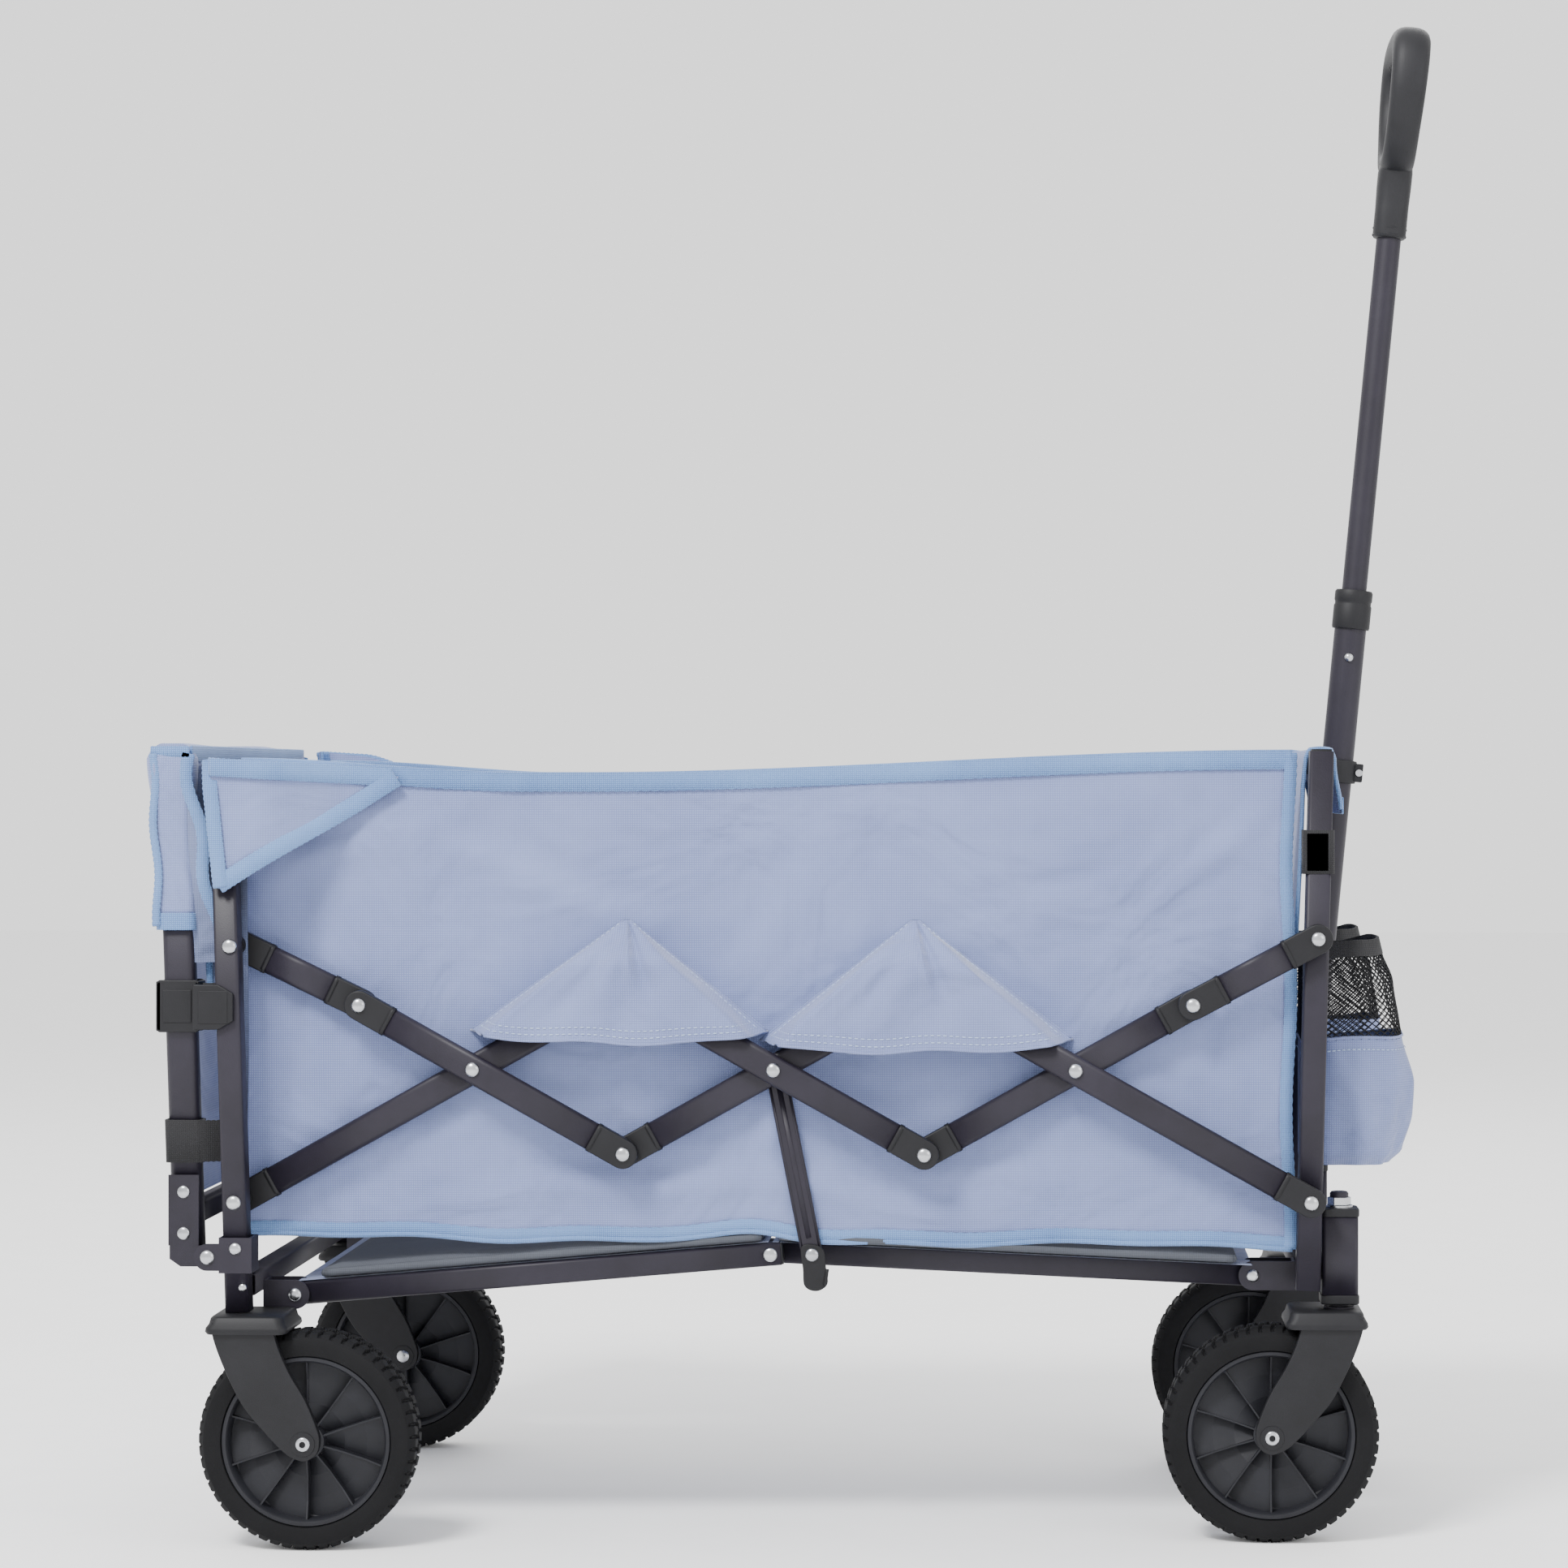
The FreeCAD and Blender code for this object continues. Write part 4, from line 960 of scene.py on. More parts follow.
def cord_along(name, points, r, mat, n=8):
    """A round piping through points."""
    rings = []
    for i, p in enumerate(points):
        a, b = points[max(i - 1, 0)], points[min(i + 1, len(points) - 1)]
        t = (b - a).normalized()
        u = t.orthogonal().normalized() if abs(t.y) > 0.9 else t.cross(Vector((0, 1, 0))).normalized()
        w = t.cross(u)
        rings.append([p + u * (r * cos(2 * pi * k / n)) + w * (r * sin(2 * pi * k / n)) for k in range(n)])
    return sweep(name, rings, mat)


def ribbon(name, points, width, thick, across, mat, scallop=0.0003):
    """A band of webbing through points; across is the direction of its width."""
    rings = []
    for i, p in enumerate(points):
        a, b = points[max(i - 1, 0)], points[min(i + 1, len(points) - 1)]
        t = (b - a).normalized()
        w = (across - t * across.dot(t)).normalized()
        n = t.cross(w).normalized()
        h = width / 2 + scallop * (1 if i % 2 else -1)
        ring = []
        for s, k in ((-1, -0.5), (-0.96, -1), (0.96, -1), (1, -0.5), (1, 0.5), (0.96, 1), (-0.96, 1),
                     (-1, 0.5)):
            ring.append(p + w * (h * s) + n * (thick / 2 * k))
        rings.append(ring)
    return sweep(name, rings, mat)


def stitches(name, points, normal, mat, length=0.0032, pitch=0.0052, r=0.00045):
    """A row of short thread stitches along a line."""
    verts, faces = [], []
    run, last = 0.0, points[0]
    place = []
    for p in points[1:]:
        seg = (p - last).length
        d = (p - last).normalized() if seg > 1e-9 else Vector((1, 0, 0))
        while run < seg:
            place.append((last + d * run, d))
            run += pitch
        run -= seg
        last = p
    for c, d in place:
        side = normal.cross(d).normalized()
        base = len(verts)
        for k, rr in ((-0.5, 0.3), (-0.3, 1.0), (0.3, 1.0), (0.5, 0.3)):
            q = c + d * (length * k)
            lift = normal * (r * (1.2 if rr == 1 else 0.2))
            verts += [q + side * r * rr + lift * 0.2, q + lift * 1.2, q - side * r * rr + lift * 0.2]
        for k in range(3):
            b = base + 3 * k
            faces += [(b, b + 1, b + 4, b + 3), (b + 1, b + 2, b + 5, b + 4)]
    return obj_from(name, verts, faces, mat)


low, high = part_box("side_fabric")
WALL_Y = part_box("floor_frame_rear")[1].y - 0.0005
REAR_X, FRONT_X = low.x - 0.0045, high.x - 0.004
BASE_Z, RIM_Z = low.z - 0.008, high.z
POST_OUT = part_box("rear_posts")[1].y


def rim_height(x):
    """The rim's height: it sags behind the rear post and rises to the front one."""
    t = (x - REAR_X) / (FRONT_X - REAR_X)
    return RIM_Z + 0.0005 - 0.0120 * smooth(t / 0.27) + 0.0185 * smooth((t - 0.33) / 0.67)


def base_height(x):
    """The lower hem's height, with small waves."""
    t = (x - REAR_X) / (FRONT_X - REAR_X)
    wave = 0.0018 * sin(17 * t) + 0.0012 * sin(41 * t + 1) + 0.0045 * exp(-((x + 0.04) / 0.035) ** 2)
    return BASE_Z + 0.004 - 0.006 * t + wave


CREASES = (  # where, which way, how long, how wide, how deep
    ((-0.365, 0.575), (0.9, 0.35), 0.10, 0.012, 0.0026), ((-0.40, 0.60), (1.0, 0.15), 0.09, 0.010, 0.0018),
    ((-0.23, 0.545), (1.0, -0.30), 0.11, 0.013, 0.0022), ((-0.03, 0.50), (0.5, 1.0), 0.08, 0.013, 0.0020),
    ((0.20, 0.52), (1.0, 0.45), 0.12, 0.014, 0.0022), ((0.33, 0.56), (0.7, 0.7), 0.09, 0.010, 0.0026),
    ((0.30, 0.36), (1.0, -0.5), 0.10, 0.012, 0.0020), ((-0.33, 0.33), (1.0, 0.5), 0.11, 0.013, 0.0024),
    ((-0.15, 0.29), (1.0, 0.08), 0.12, 0.012, 0.0026), ((0.04, 0.285), (1.0, -0.10), 0.12, 0.010, 0.0024),
    ((0.17, 0.30), (1.0, 0.12), 0.10, 0.012, 0.0020), ((0.10, 0.60), (1.0, 0.05), 0.16, 0.016, 0.0016),
    ((-0.02, 0.37), (0.15, 1.0), 0.05, 0.011, 0.0026), ((0.36, 0.44), (0.1, 1.0), 0.10, 0.010, 0.0020),
    ((-0.41, 0.43), (0.08, 1.0), 0.10, 0.011, 0.0020),
)


def crease(x, z):
    """How far the creases lift the wall at x, z."""
    total = 0.0
    for (cx, cz), (dx, dz), length, width, depth in CREASES:
        n = hypot(dx, dz)
        along = ((x - cx) * dx + (z - cz) * dz) / n
        off = (-(x - cx) * dz + (z - cz) * dx) / n + 0.006 * sin(along * 30)
        total += 1.7 * depth * exp(-(along / length) ** 2) * exp(-(off / width) ** 2)
        total -= 0.9 * depth * exp(-(along / length) ** 2) * exp(-((off - 1.7 * width) / width) ** 2)
    return total


def wall_point(x, z, s, lift=0.0):
    """A point of the side wall: creases push it inwards, and outwards by 1.4 mm at most."""
    base, rim = base_height(x), rim_height(x)
    t = (z - base) / (rim - base)
    edge = smooth(min(t, 1 - t) / 0.12)
    ends = smooth(min(x - REAR_X, FRONT_X - x) / 0.05)
    full = 0.0022 * sin(pi * min(max(t, 0), 1)) * ends
    ripple = 0.0011 * sin(38 * x + 9 * z) * sin(21 * z - 13 * x + 0.7) * edge
    hem = 0.0016 * sin(52 * x + 2) * (1 - smooth(t / 0.18))
    out = full + ripple + hem + crease(x, z) * ends - 0.0030 * ends
    out = out if out < 0 else 0.0014 * tanh(out / 0.0014)
    return Vector((x, s * (WALL_Y + 0.0004 + out + lift), z))


FLAPS = (((-0.279, 0.421), (-0.149, 0.514), (-0.032, 0.420)),
         ((-0.038, 0.413), (0.090, 0.514), (0.220, 0.414)))


def flap_point(corners, t, k, s, lift=0.0):
    """t runs from the apex to the open edge, k from side to side."""
    a, apex, b = (Vector((p[0], 0, p[1])) for p in corners)
    edge = a.lerp(b, (k + 1) / 2)
    p = apex.lerp(edge, t)
    bump = smooth((1 - abs(k)) / 0.15) * smooth(t / 0.42)
    droop = 0.0075 * smooth((t - 0.8) / 0.2) * (1 - abs(k) ** 3)
    droop += 0.0022 * sin(7 * k + apex.x * 40) * smooth((t - 0.6) / 0.4) * (1 - abs(k))
    base = wall_point(p.x, p.z, 1).y
    pleat = 0.0050 * exp(-((k - 0.16) / 0.07) ** 2) * smooth(t / 0.15) * (1 - smooth((t - 0.45) / 0.3))
    pleat -= 0.0030 * exp(-((k - 0.34) / 0.10) ** 2) * smooth(t / 0.15) * (1 - smooth((t - 0.5) / 0.3))
    pleat += 0.0022 * exp(-((k + 0.42 + 0.3 * t) / 0.12) ** 2) * smooth((t - 0.3) / 0.2)
    swell = 0.0016 * sin(9 * k + 5 * t) * bump
    out = base * (1 - bump) + (OUTER_Y + 0.0105) * bump + pleat + swell + 0.0009 + lift
    return Vector((p.x, s * out, p.z - droop))


def wall_at(u, v, s):
    """The side wall by shares: u from rear to front, v from hem to rim."""
    x = REAR_X + (FRONT_X - REAR_X) * u
    return wall_point(x, base_height(x) + (rim_height(x) - base_height(x)) * v, s)


for side, s in SIDES:
    out = Vector((0, s, 0))
    wall = surface(f"side_wall_{side}", 150, 72, lambda u, v: wall_at(u, v, s), CLOTH)
    trims = []
    xs = [REAR_X + (FRONT_X - REAR_X) * i / 220 for i in range(221)]
    for name, lift, thick in (("rim_band", 0.0014, 0.0018), ("rim_band_in", -0.0022, 0.0014)):
        line = [wall_point(x, rim_height(x) - 0.0065, s, lift) for x in xs]
        trims.append(ribbon(name, line, 0.0150, thick, UPWARD, BINDING))
    line = [wall_point(x, rim_height(x) + 0.0006, s, -0.0004) for x in xs]
    trims.append(cord_along("rim_fold", line, 0.0017, BINDING))
    line = [wall_point(x, base_height(x), s, 0.0004) for x in xs]
    trims.append(cord_along("hem_piping", line, 0.0024, BINDING))
    line = [wall_point(x, base_height(x) + 0.0055, s, 0.0009) for x in xs]
    trims.append(ribbon("hem_band", line, 0.0095, 0.0016, UPWARD, BINDING))
    x0 = FRONT_X - 0.0030
    zs = [base_height(x0) + (rim_height(x0) - base_height(x0)) * i / 110 for i in range(111)]
    line = [wall_point(x0 + 0.0020 * sin(z * 31), z, s, 0.0012) for z in zs]
    trims.append(ribbon("front_band", line, 0.0105, 0.0022, FORWARD, BINDING))
    flaps = []
    for n, corners in enumerate(FLAPS):

        def flap_at(u, v):
            """The flap by shares: u from near the apex to the edge, v from side to side."""
            return flap_point(corners, 0.02 + 0.98 * u, 2 * v - 1, s)

        flaps.append(surface(f"bar_flap_{side}_{n + 1}", 44, 64, flap_at, CLOTH))
        lip = [flap_point(corners, 1.0, -1 + 2 * i / 60, s) for i in range(61)]
        trims.append(cord_along("flap_lip", lip, 0.0011, CLOTH))
        for row in (0.955, 0.915):
            line = [flap_point(corners, row, -0.97 + 1.94 * i / 60, s, 0.0003) for i in range(61)]
            trims.append(stitches("hem_stitch", line, out, THREAD))
        for k in (-0.965, 0.965):
            line = [flap_point(corners, 0.06 + 0.9 * i / 40, k, s, 0.0003) for i in range(41)]
            trims.append(stitches("seam_stitch", line, out, THREAD))
            line = [flap_point(corners, 0.02 + 0.97 * i / 40, copysign(1, k), s) for i in range(41)]
            trims.append(cord_along("seam", line, 0.0008, CLOTH, 6))
    # corner sleeve over the rear post, from behind the post round to the rim
    tri = ((-0.4890, 0.6450), (-0.3400, 0.6300), (-0.4770, 0.5390))

    def sleeve(u, v):
        """u from the rim down to the diagonal, v from the back edge forward."""
        a, b, c = (Vector((p[0], 0, p[1])) for p in tri)
        top = a.lerp(b, v)
        low_edge = c.lerp(b, v)
        p = top.lerp(low_edge, u)
        over = 1 - smooth((p.x + 0.4535) / 0.085)
        y = (WALL_Y + 0.0055) * (1 - over) + (POST_OUT + 0.0030) * over
        y += 0.0020 * sin(30 * p.x + 14 * p.z) * (1 - over)
        y += 0.0012 * sin(45 * p.z + 22 * p.x) * smooth(u / 0.2) * (1 - v)
        back = smooth((-0.4840 - p.x) / 0.006)
        peak = 0.0095 * smooth((0.400 + p.x) / -0.050) * (1 - u) ** 2 if s > 0 else 0.0
        return Vector((p.x, s * (y - 0.020 * back), p.z + peak))

    corner = surface(f"corner_sleeve_{side}", 34, 56, sleeve, CLOTH)
    diag = [sleeve(0.97, i / 70) + out * 0.0014 for i in range(71)]
    trims.append(ribbon("diagonal_band", diag, 0.0145, 0.0018, Vector((-0.5, 0, 0.86)), BINDING))
    top_line = [sleeve(0.055, i / 70) + out * 0.0014 for i in range(69)]
    trims.append(ribbon("sleeve_top", top_line, 0.0150, 0.0018, UPWARD, BINDING))
    back_line = [sleeve(i / 50, 0.012) + out * 0.0016 for i in range(51)]
    trims.append(ribbon("sleeve_back", back_line, 0.0120, 0.0018, FORWARD, BINDING))

    def sleeve_cap(u, v):
        """The top of the sleeve, closing over the post."""
        y = s * ((WALL_Y + 0.0010) * (1 - u) + sleeve(0, v).y * s * u)
        return Vector((-0.4890 + 0.150 * v, y, 0.6450 - 0.0155 * v + 0.0015 * sin(u * 3)))

    def gusset(u, v):
        """A soft inner fold that runs down behind the post."""
        z = 0.640 - 0.350 * u
        width = (0.048 * (1 - u) ** 1.3 + 0.010)
        x = -0.4600 - width * v
        y = POST_OUT - 0.028 - 0.012 * sin(v * pi) * (1 - u) + 0.0025 * sin(26 * z + 5 * v)
        return Vector((x, s * y, z))

    trims.append(surface("sleeve_cap", 10, 30, sleeve_cap, CLOTH))
    # the inner fold is drawn in the darker copy of the blue cloth, as painted shade
    gus = surface(f"gusset_{side}", 60, 16, gusset, PAINTED_SHADE_CLOTH)
    edge = [gusset(i / 90, 1.0) + Vector((-0.001 + 0.0022 * sin(i * 0.23), s * 0.0008,
                                          0)) for i in range(91)]
    trims.append(cord_along("gusset_piping", edge, 0.0030, BINDING))
    trim = joined(f"side_trim_{side}", trims)
    for o in [wall, trim, corner, gus] + flaps:
        finish_piece(o, "rear_frame", "blue_fabric")
        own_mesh(o)
    if s < 0:
        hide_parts("side_fabric")
    for o, corners in zip(flaps, FLAPS):
        wide = corners[2][0] - corners[0][0]

# ---------------------------------------------------------------- front panel and its top flap
low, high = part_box("front_panel")
HALF_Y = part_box("front_posts")[1].y - 0.0215
tube_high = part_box("front_cross_tubes")[1]
TX, TZ = tube_high.x - 0.009, tube_high.z - 0.009


def front_profile(t):
    """Up the panel, over the top tube and down its front, t from 0 to 1."""
    pts = [(low.x + 0.0010, low.z + 0.002), (low.x + 0.0125, 0.50), (low.x + 0.0175, TZ - 0.016),
           (TX - 0.0115, TZ + 0.0045), (TX - 0.0085, TZ + 0.0112), (TX, TZ + 0.0122),
           (TX + 0.0090, TZ + 0.0112), (TX + 0.0118, TZ + 0.0040), (TX + 0.0120, TZ - 0.018),
           (TX + 0.0122, low.z + 0.345)]
    share = (0, 0.52, 0.80, 0.845, 0.865, 0.885, 0.905, 0.925, 0.96, 1.0)
    for i in range(len(pts) - 1):
        if t <= share[i + 1] or i == len(pts) - 2:
            k = (t - share[i]) / (share[i + 1] - share[i])
            return pts[i][0] + (pts[i + 1][0] - pts[i][0]) * k, pts[i][1] + (pts[i + 1][1] - pts[i][1]) * k


def front_at(u, v, lift=0.0):
    """The front cloth by shares: u up the profile, v from right to left."""
    x, z = front_profile(u)
    y = -HALF_Y + 2 * HALF_Y * v
    ripple = 0.0014 * sin(19 * y + 11 * z) * sin(15 * z + 4) * (1 if u < 0.8 else 0)
    flare = 0.0055 * smooth((u - 0.93) / 0.07) * smooth((abs(y) - 0.03) / 0.02)
    return Vector((x + ripple * 0.8 + flare + lift, y, z))


front = surface("front_cloth", 130, 96, front_at, CLOTH)
trims = []
for s in (-1, 1):
    v = 0.5 + s * 0.497
    line = [front_at(0.005 + 0.99 * i / 200, v) + Vector((0, s * 0.0008, 0)) for i in range(201)]
    trims.append(cord_along("edge", line, 0.0020, BINDING))
    line = [front_at(0.93 + 0.07 * i / 20, 0.5 + s * 0.475, 0.0012) for i in range(21)]
    trims.append(ribbon("flap_side", line, 0.013, 0.0016, SIDEWAYS, BINDING))
    ys = [s * (0.026 + (HALF_Y - 0.027) * i / 60) for i in range(61)]
    x, z = front_profile(1.0)
    trims.append(ribbon("flap_hem", [Vector((x + 0.0068, y, z + 0.006)) for y in ys], 0.0135, 0.0016,
                        UPWARD, BINDING))
trim = piece("front_trim", trims, "front_frame", "blue_fabric")
finish_piece(front, "front_frame", "blue_fabric", "front_panel")

# straps round the front posts
low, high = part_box("front_straps")
parts = []
cx, cy = (low.x + high.x) / 2, high.y - 0.0124
for s in (-1, 1):
    outline = rounded(0.0262, 0.0226, 0.0035, 4)
    inner = rounded(0.0236, 0.0204, 0.0028, 4)
    z0, z1 = low.z + 0.001, high.z - 0.001
    loop = [[Vector((cx + a, s * cy + b, z)) for a, b in o] for o,
            z in ((outline, z0), (outline, z1), (inner, z1), (inner, z0))]
    parts.append(sweep("band", loop, WEBBING, closed=True))
    y = s * (cy + 0.0106)
    tab = block("tab", (cx - 0.0115, y - 0.0007, low.z + 0.003), (cx + 0.0085, y + 0.0007, high.z - 0.003),
                WEBBING)
    parts.append(soften(tab, 0.0007, 2))
piece("front_straps_look", parts, "front_frame", "black_webbing", "front_straps")

# bottle pockets: gathered cloth cup, net above it, elastic band at the mouth
low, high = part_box("bottle_pockets")
PX, PY = (low.x + high.x) / 2, high.y - (high.x - low.x) / 2
HEM_Z = low.z + 0.107

# how far the pocket stands out in front, and its half width, from the base up
POCKET_SHAPE = ((0.0, 0.037, 0.034), (0.06, 0.048, 0.043), (0.22, 0.0555, 0.046), (0.37, 0.0575, 0.047),
                (0.57, 0.0490, 0.045),
                (0.80, 0.0400, 0.042), (0.93, 0.0300, 0.040), (1.0, 0.0265, 0.039))


def pocket_point(y, z, a, lift=0.0):
    """The pocket's skin at height z and angle a, for the pocket whose middle is at y."""
    t = min(max((z - low.z) / (high.z - low.z), 0), 1)
    for (t0, fore0, half0), (t1, fore1, half1) in zip(POCKET_SHAPE, POCKET_SHAPE[1:]):
        if t <= t1:
            k = smooth((t - t0) / (t1 - t0)) * 0.5 + 0.5 * (t - t0) / (t1 - t0)
            fore, half = fore0 + (fore1 - fore0) * k, half0 + (half1 - half0) * k
            break
    c, d = cos(a), sin(a)
    fullness = 0.0014 * sin(5 * a + 9 * t) + 0.0011 * sin(11 * a + 4) * (1 - t)
    fullness += 0.0022 * exp(-((a - 5.4 + 2.0 * t) / 0.22) ** 2) * (1 - t)
    x = PX + (fore + lift + fullness) * c if c > 0 else PX + (0.0375 + lift) * max(c * 1.25, -1)
    ripple = 0.0014 * sin(3 * a) * (1 if z > low.z + 0.02 else 0)
    return Vector((x, y + (half + lift + fullness) * d, z + ripple + 0.004 * t * c))


for side, s in SIDES:
    y = s * PY
    around = [2 * pi * k / 72 for k in range(73)]

    def cup_at(u, v):
        """The cloth cup: u from the base up to the hem, v around."""
        return pocket_point(y, low.z + 0.001 + (HEM_Z - low.z) * u, 2 * pi * v)

    cup = surface(f"pocket_cup_{side}", 40, 72, cup_at, CLOTH, wrap=True)
    bottom = [pocket_point(y, low.z + 0.001, a) for a in around[:72]] + [Vector((PX, y, low.z + 0.0035))]
    trims = [obj_from("pocket_base", bottom, [(k, (k + 1) % 72, 72) for k in range(72)], CLOTH)]
    trims.append(cord_along("pocket_hem", [pocket_point(y, HEM_Z, a, 0.0006) for a in around], 0.0012,
                            CLOTH, 6))
    stitch_line = [pocket_point(y, HEM_Z - 0.010, a, 0.0006) for a in around]
    for k in range(72):
        a = 2 * pi * (k + 0.5) / 72
        n = Vector((cos(a), sin(a), 0))
        trims.append(stitches("pocket_stitch", stitch_line[k:k + 2], n, THREAD, 0.0030, 0.0048))
    band = joined(f"pocket_trim_{side}", trims)
    rings = []
    z0, z1 = high.z - 0.014, high.z - 0.0005
    for k, a in enumerate(around[:72]):
        edges = ((z0, 0.0008), (z1, 0.0010 + 0.0004 * (k % 2)), (z1, -0.0012), (z0, -0.0012))
        rings.append([pocket_point(y, z, a, lift) for z, lift in edges])
    elastic = sweep(f"pocket_elastic_{side}", rings, WEBBING, closed=True)
    # net: diamond cells
    columns, rows = 42, 26
    verts, faces = [], []
    for i in range(rows + 1):
        z = HEM_Z - 0.002 + (high.z - 0.011 - HEM_Z) * i / rows
        for k in range(columns):
            verts.append(pocket_point(y, z, 2 * pi * (k + (0.5 if i % 2 else 0)) / columns, -0.0004))
    for i in range(0, rows - 1):
        for k in range(columns):
            if i % 2 == 0:
                left, right = (i + 1) * columns + (k - 1) % columns, (i + 1) * columns + k
            else:
                left, right = (i + 1) * columns + k, (i + 1) * columns + (k + 1) % columns
            faces.append((i * columns + k, right, (i + 2) * columns + k, left))
    net = obj_from(f"pocket_net_{side}", verts, faces, NET)
    wire = net.modifiers.new("mesh", "WIREFRAME")
    wire.thickness = 0.0014
    wire.use_even_offset = False
    for o, slot in ((cup, "blue_fabric"), (band, "blue_fabric"), (elastic, "black_webbing"),
                    (net, "black_webbing")):
        finish_piece(o, "front_frame", slot)
    if s < 0:
        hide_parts("bottle_pockets")

# ---------------------------------------------------------------- tailgate cloth
low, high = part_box("gate_panel")
LEAN = (GATE_HEAD.x - GATE_FOOT.x) / (GATE_HEAD.z - GATE_FOOT.z)


def gate_x(z):
    """The middle line of the gate's leaning uprights."""
    return GATE_FOOT.x + LEAN * (z - GATE_FOOT.z)


def gate_at(u, v):
    """The gate's cloth by shares: u upwards, v from right to left."""
    z = low.z + (0.645 - low.z) * u
    y = -0.2095 + 0.419 * v
    sag = 0.0024 * sin(pi * v) * sin(pi * u)
    ripple = 0.0016 * sin(17 * y + 8 * z) * sin(19 * z + 2) * smooth(min(u, 1 - u) / 0.08)
    return Vector((gate_x(z) - sag + ripple, y, z))


panel = surface("gate_cloth", 80, 96, gate_at, CLOTH)


def sleeve_ring(y):
    """The loop of cloth round the gate's top tube at y."""
    ring = []
    for a, b in rounded(0.0310, 0.0240, 0.0085, 5):
        x = gate_x(0.647) + a + 0.0006 * sin(60 * y + a * 300)
        ring.append(Vector((x, y, 0.6455 + b + 0.0010 * sin(23 * y))))
    return ring


parts = []
parts.append(sweep("top_sleeve", [sleeve_ring(-0.2290 + 0.458 * i / 60) for i in range(61)], CLOTH))
band_top = [Vector((gate_x(0.647) + 0.0160, -0.226 + 0.452 * i / 120, 0.650)) for i in range(121)]
parts.append(ribbon("top_band", band_top, 0.0130, 0.0016, UPWARD, BINDING))
for s in (-1, 1):
    rings = []
    for i in range(28):
        z = 0.517 + (0.656 - 0.517) * i / 27
        grow = 0.0015 * sin(z * 60 + 1) + 0.0035 * smooth((z - 0.60) / 0.05)
        grow -= 0.0080 * smooth((z - 0.645) / 0.011)
        wide = 0.0310 + 0.0040 * smooth((z - 0.56) / 0.08)
        ring = []
        for a, b in rounded(wide + grow, 0.0215 + grow * 0.6, 0.0070, 5):
            ring.append(Vector((gate_x(z) + a - 0.0010, s * GATE_Y + b + 0.0010 * sin(40 * z + a * 90), z)))
        rings.append(ring)
    parts.append(sweep("upright_sleeve", rings, CLOTH))
    hem = []
    for i in range(14):
        z = 0.505 + 0.014 * i / 13
        hem.append([Vector((gate_x(z) + a - 0.0010, s * GATE_Y + b, z)) for a,
                    b in rounded(0.0332, 0.0235, 0.0070, 5)])
    parts.append(sweep("sleeve_hem", hem, BINDING))
    wavy = []
    for i in range(61):
        z = 0.650 - 0.172 * i / 60
        x = gate_x(z) + 0.0150 + 0.0180 * smooth(i / 60) - 0.0035 * sin(i * 0.21)
        wavy.append(Vector((x, s * (GATE_Y + 0.0105 - 0.012 * smooth((i - 30) / 30)), z)))
    parts.append(ribbon("sleeve_edge", wavy, 0.0105, 0.0018, FORWARD, BINDING))
    back = []
    for i, w in enumerate(wavy):
        back.append(Vector((gate_x(w.z) + 0.0120, s * (GATE_Y + 0.0095 - 0.006 * smooth((i - 30) / 30)),
                            w.z)))
    # the sleeve's web is drawn in the darker copy of the blue cloth, as painted shade
    parts.append(surface("sleeve_web", 61, 8, lambda u, v: back[round(u * 60)].lerp(wavy[round(u * 60)], v),
                         PAINTED_SHADE_CLOTH))
    edge = []
    for i in range(61):
        z = 0.6500 - 0.142 * i / 60
        edge.append(Vector((gate_x(z) - 0.0145 + 0.0016 * sin(i * 0.19), s * (GATE_Y + 0.0118), z)))
    parts.append(ribbon("sleeve_back", edge, 0.0065, 0.0018, FORWARD, BINDING))
    edge = [Vector((gate_x(0.647) - 0.0165 + 0.032 * i / 20, s * (GATE_Y + 0.0105),
                    0.6515)) for i in range(21)]
    parts.append(ribbon("sleeve_top", edge, 0.0090, 0.0018, UPWARD, BINDING))
trim = piece("gate_trim", parts, "gate", "blue_fabric")
finish_piece(panel, "gate", "blue_fabric", "gate_panel")

# woven straps round the gate's uprights
low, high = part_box("gate_straps")
parts = []
zc = (low.z + high.z) / 2
for s in (-1, 1):
    loops = []
    outer, inner = rounded(0.0312, 0.0200, 0.004, 4), rounded(0.0284, 0.0172, 0.004, 4)
    for outline, z in ((outer, low.z), (outer, high.z), (inner, high.z), (inner, low.z)):
        loops.append([Vector((gate_x(z) + a, s * GATE_Y + b, z)) for a, b in outline])
    parts.append(sweep("strap", loops, WEBBING, closed=True))
    tab = [Vector((gate_x(zc) + 0.010 + 0.024 * i / 12, s * (GATE_Y + 0.0090 - 0.0060 * smooth(i / 12)),
                   zc)) for i in range(13)]
    parts.append(ribbon("strap_tab", tab, 0.034, 0.0016, UPWARD, WEBBING))
piece("gate_straps_look", parts, "gate", "black_webbing", "gate_straps")


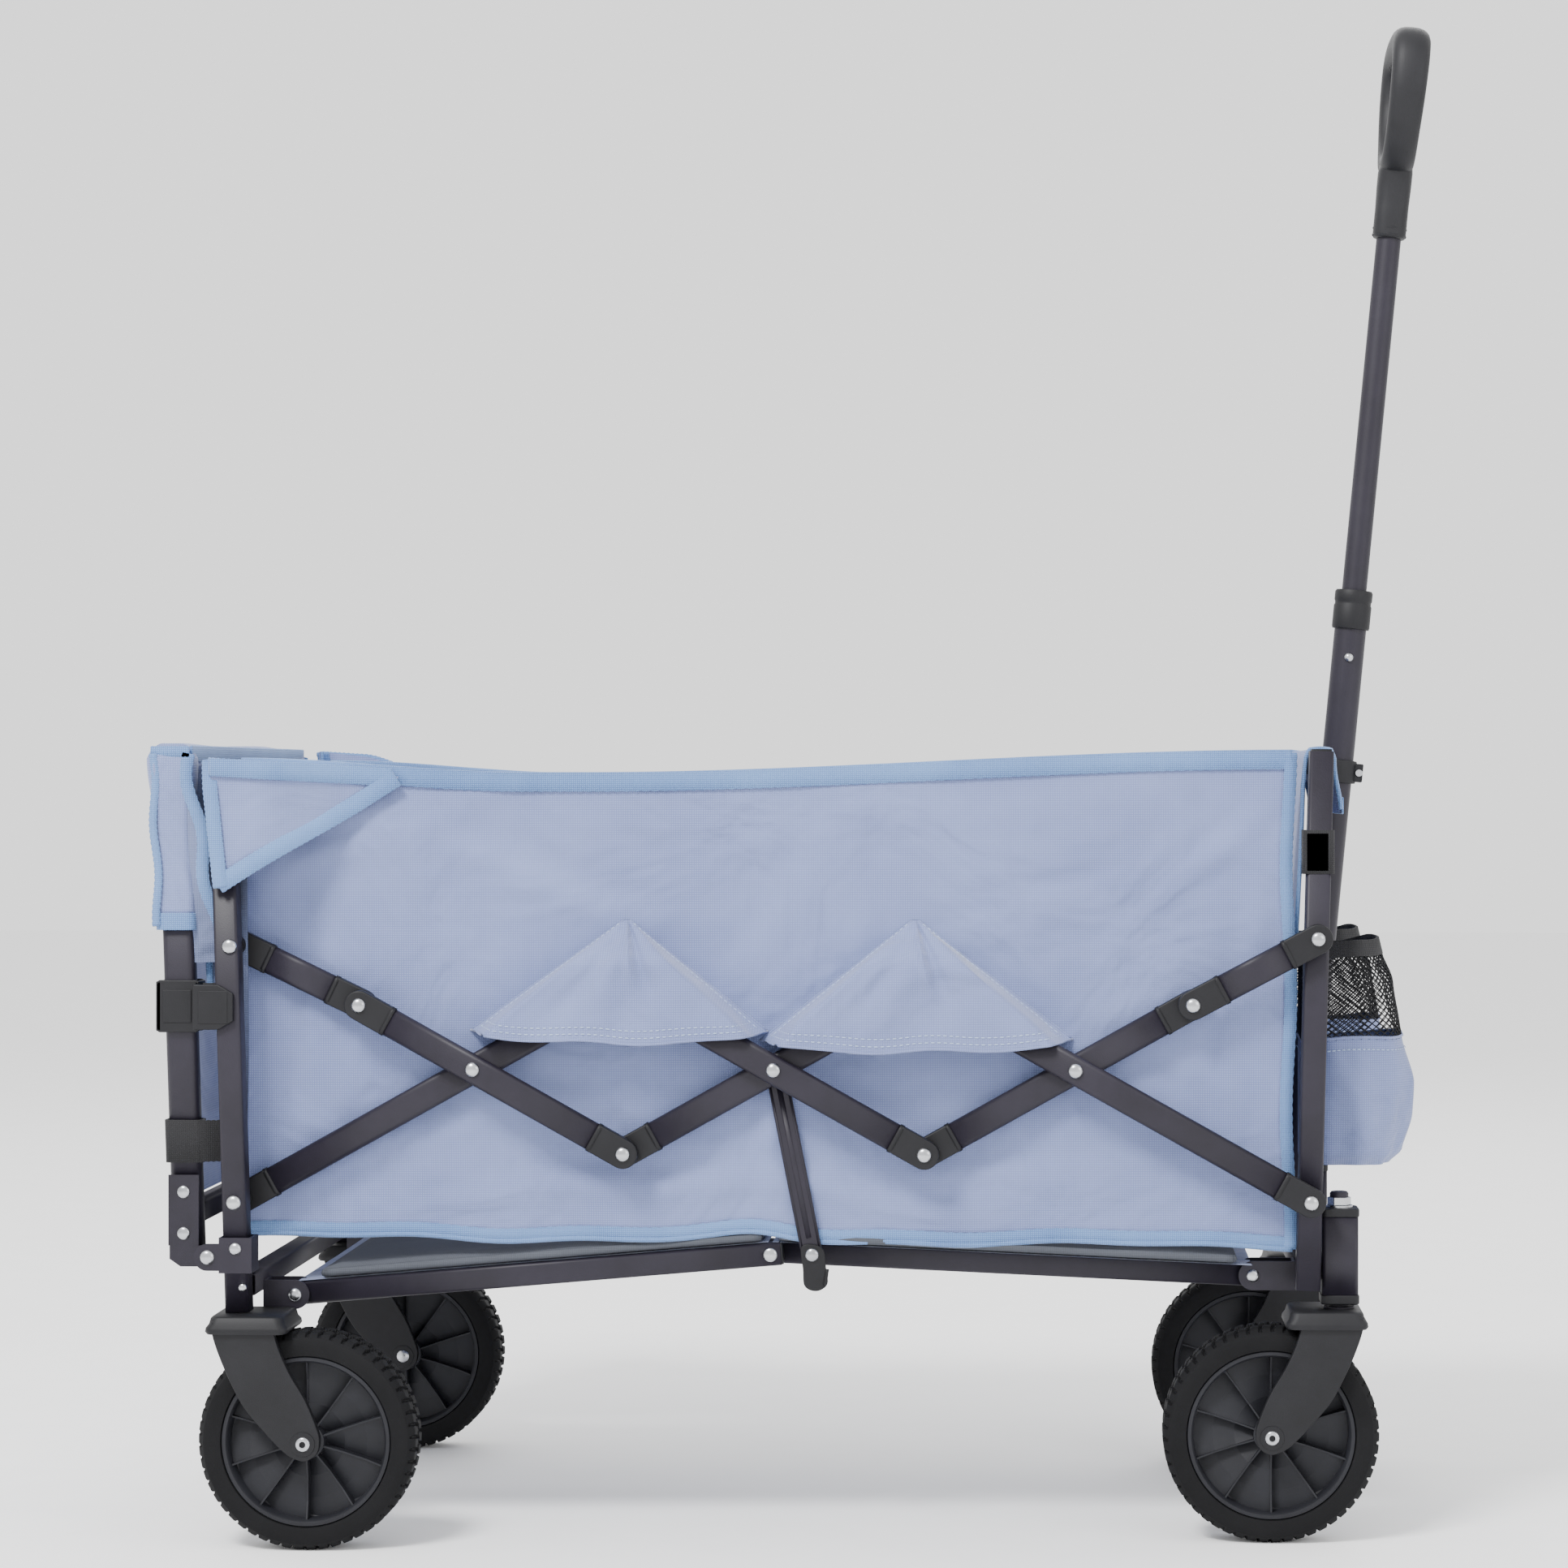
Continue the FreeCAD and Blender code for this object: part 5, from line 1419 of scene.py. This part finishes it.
# ---------------------------------------------------------------- padded floor boards
def board(name, node, body, hinge, far):
    """A quilted board: rounded edges, a few broad cushions and piping."""
    low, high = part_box(node)
    d = (far - hinge).normalized()
    up = Vector((-d.z, 0, d.x))
    if up.z < 0:
        up = -up
    near_t = (Vector((low.x if d.x > 0 else high.x, 0, hinge.z)) - hinge).dot(d)
    span = (high.x - low.x) / abs(d.x)
    half = high.y - 0.001
    rows, cols = 60, 60
    bottom, thick = 0.0109, 0.0118

    def point(u, v, top):
        y = -half + 2 * half * v
        edge = smooth(min(u, 1 - u) / 0.035) * smooth(min(v, 1 - v) / 0.03)
        quilt = abs(sin(pi * u * 2)) ** 0.5 * abs(sin(pi * v * 3)) ** 0.5
        swell = (0.35 + 0.65 * edge) * (0.80 + 0.20 * quilt) if top else -(0.45 + 0.55 * edge)
        h = bottom + thick * 0.5 + thick * 0.5 * swell
        return hinge + d * (near_t + 0.003 + (span - 0.008) * u) + up * h + Vector((0, y, 0))

    a = surface("top", rows, cols, lambda u, v: point(u, v, True), MAT)
    b = surface("under", rows, cols, lambda u, v: point(u, v, False), MAT)
    way_round = [(i / 59, 0) for i in range(60)] + [(1, i / 59) for i in range(1, 60)]
    way_round += [(1 - i / 59, 1) for i in range(1, 60)] + [(0, 1 - i / 59) for i in range(1, 60)]
    pipe = cord_along("piping", [point(u, v, True) - up * 0.0035 for u, v in way_round], 0.0034, MAT)
    o = piece(name, [a, b, pipe], body, "grey_mat", node)


mid = Vector((MID[0], 0, MID[1]))
board("rear_board", "floor_mat_rear", "floor_rear", P["floor_rear_hinge"], mid)
board("front_board", "floor_mat_front", "floor_front", P["floor_front_hinge"], mid)


# ---------------------------------------------------------------- cloth floor under the boards
def floor_cloth(name, body, start, stop, half):
    """A taut piece of the basket's floor from start to stop (x, z), sagging a little between its edges."""
    def point(u, v):
        x, z = (a + (b - a) * u for a, b in zip(start, stop))
        sag = 0.0005 * sin(pi * v) * sin(9 * x + 4 * v)
        return Vector((x, -half + 2 * half * v, z + sag))

    # the floor sheet is drawn in the darker copy of the blue cloth, as painted shade
    o = piece(name, [surface("sheet", 30, 30, point, PAINTED_SHADE_CLOTH)], body, "blue_fabric")


def above(hinge, far, distance, lift):
    """A point above the floor bar that runs from hinge to far."""
    d = (far - hinge).normalized()
    return (hinge.x + d.x * distance - abs(d.z) * lift * (1 if d.x > 0 else -1),
            hinge.z + d.z * distance + abs(d.x) * lift)


REAR_HINGE, FRONT_HINGE = P["floor_rear_hinge"], P["floor_front_hinge"]
CLOTH_LIFT = 0.0103       # just above the floor bars, which reach 9.5 mm above their centre line
CLOTH_HALF = 0.1865
rear_start, front_start = above(REAR_HINGE, mid, 0.002,
                                CLOTH_LIFT), above(FRONT_HINGE, mid, 0.002, CLOTH_LIFT)
floor_cloth("floor_cloth_rear", "floor_rear", rear_start, above(REAR_HINGE, mid, 0.3955, CLOTH_LIFT),
            CLOTH_HALF)
floor_cloth("floor_cloth_front", "floor_front", front_start, above(FRONT_HINGE, mid, 0.3990, CLOTH_LIFT),
            CLOTH_HALF)


# ================================================================ floor, light and camera
def area_light(name, at, target, size, power, colour=(1, 1, 1)):
    light = bpy.data.lights.new(name, "AREA")
    light.shape = "RECTANGLE"
    light.size, light.size_y = size
    light.energy = power
    light.color = colour
    o = bpy.data.objects.new(name, light)
    bpy.context.scene.collection.objects.link(o)
    o.location = at
    o.rotation_euler = (Vector(target) - Vector(at)).to_track_quat("-Z", "Y").to_euler()


floor_mat = grainy("pale_floor", (0.93, 0.93, 0.93), (0.95, 0.95, 0.95), (0.85, 0.95), 40.0, 0.02)
floor = obj_from("studio_floor", [(-12, -12, 0), (12, -12, 0), (12, 12, 0), (-12, 12, 0)], [(0, 1, 2, 3)],
                 floor_mat, False)
floor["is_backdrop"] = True
world = bpy.data.worlds.new("studio")
bpy.context.scene.world = world
world.use_nodes = True
world.node_tree.nodes["Background"].inputs["Color"].default_value = (1, 1, 1, 1)
world.node_tree.nodes["Background"].inputs["Strength"].default_value = 1.6
area_light("key", (-1.4, -2.4, 3.4), (0, 0, 0.4), (1.1, 0.9), 210)
area_light("fill", (3.2, -2.6, 1.8), (0.1, 0, 0.4), (2.4, 1.8), 38)
area_light("back", (0.4, 3.0, 3.0), (0, 0, 0.5), (3.0, 1.6), 55)

camera = bpy.data.objects.new("camera", bpy.data.cameras.new("camera"))
bpy.context.scene.collection.objects.link(camera)
camera.data.lens = 85
camera.data.sensor_width = 36
camera.location = (0.2085, -3.249, 0.629)
camera.rotation_euler = (radians(90), 0, radians(1.7))
camera.data.shift_x = -0.105
camera.data.shift_y = -0.0032
camera.data.dof.use_dof = False
bpy.context.scene.camera = camera

low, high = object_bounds()
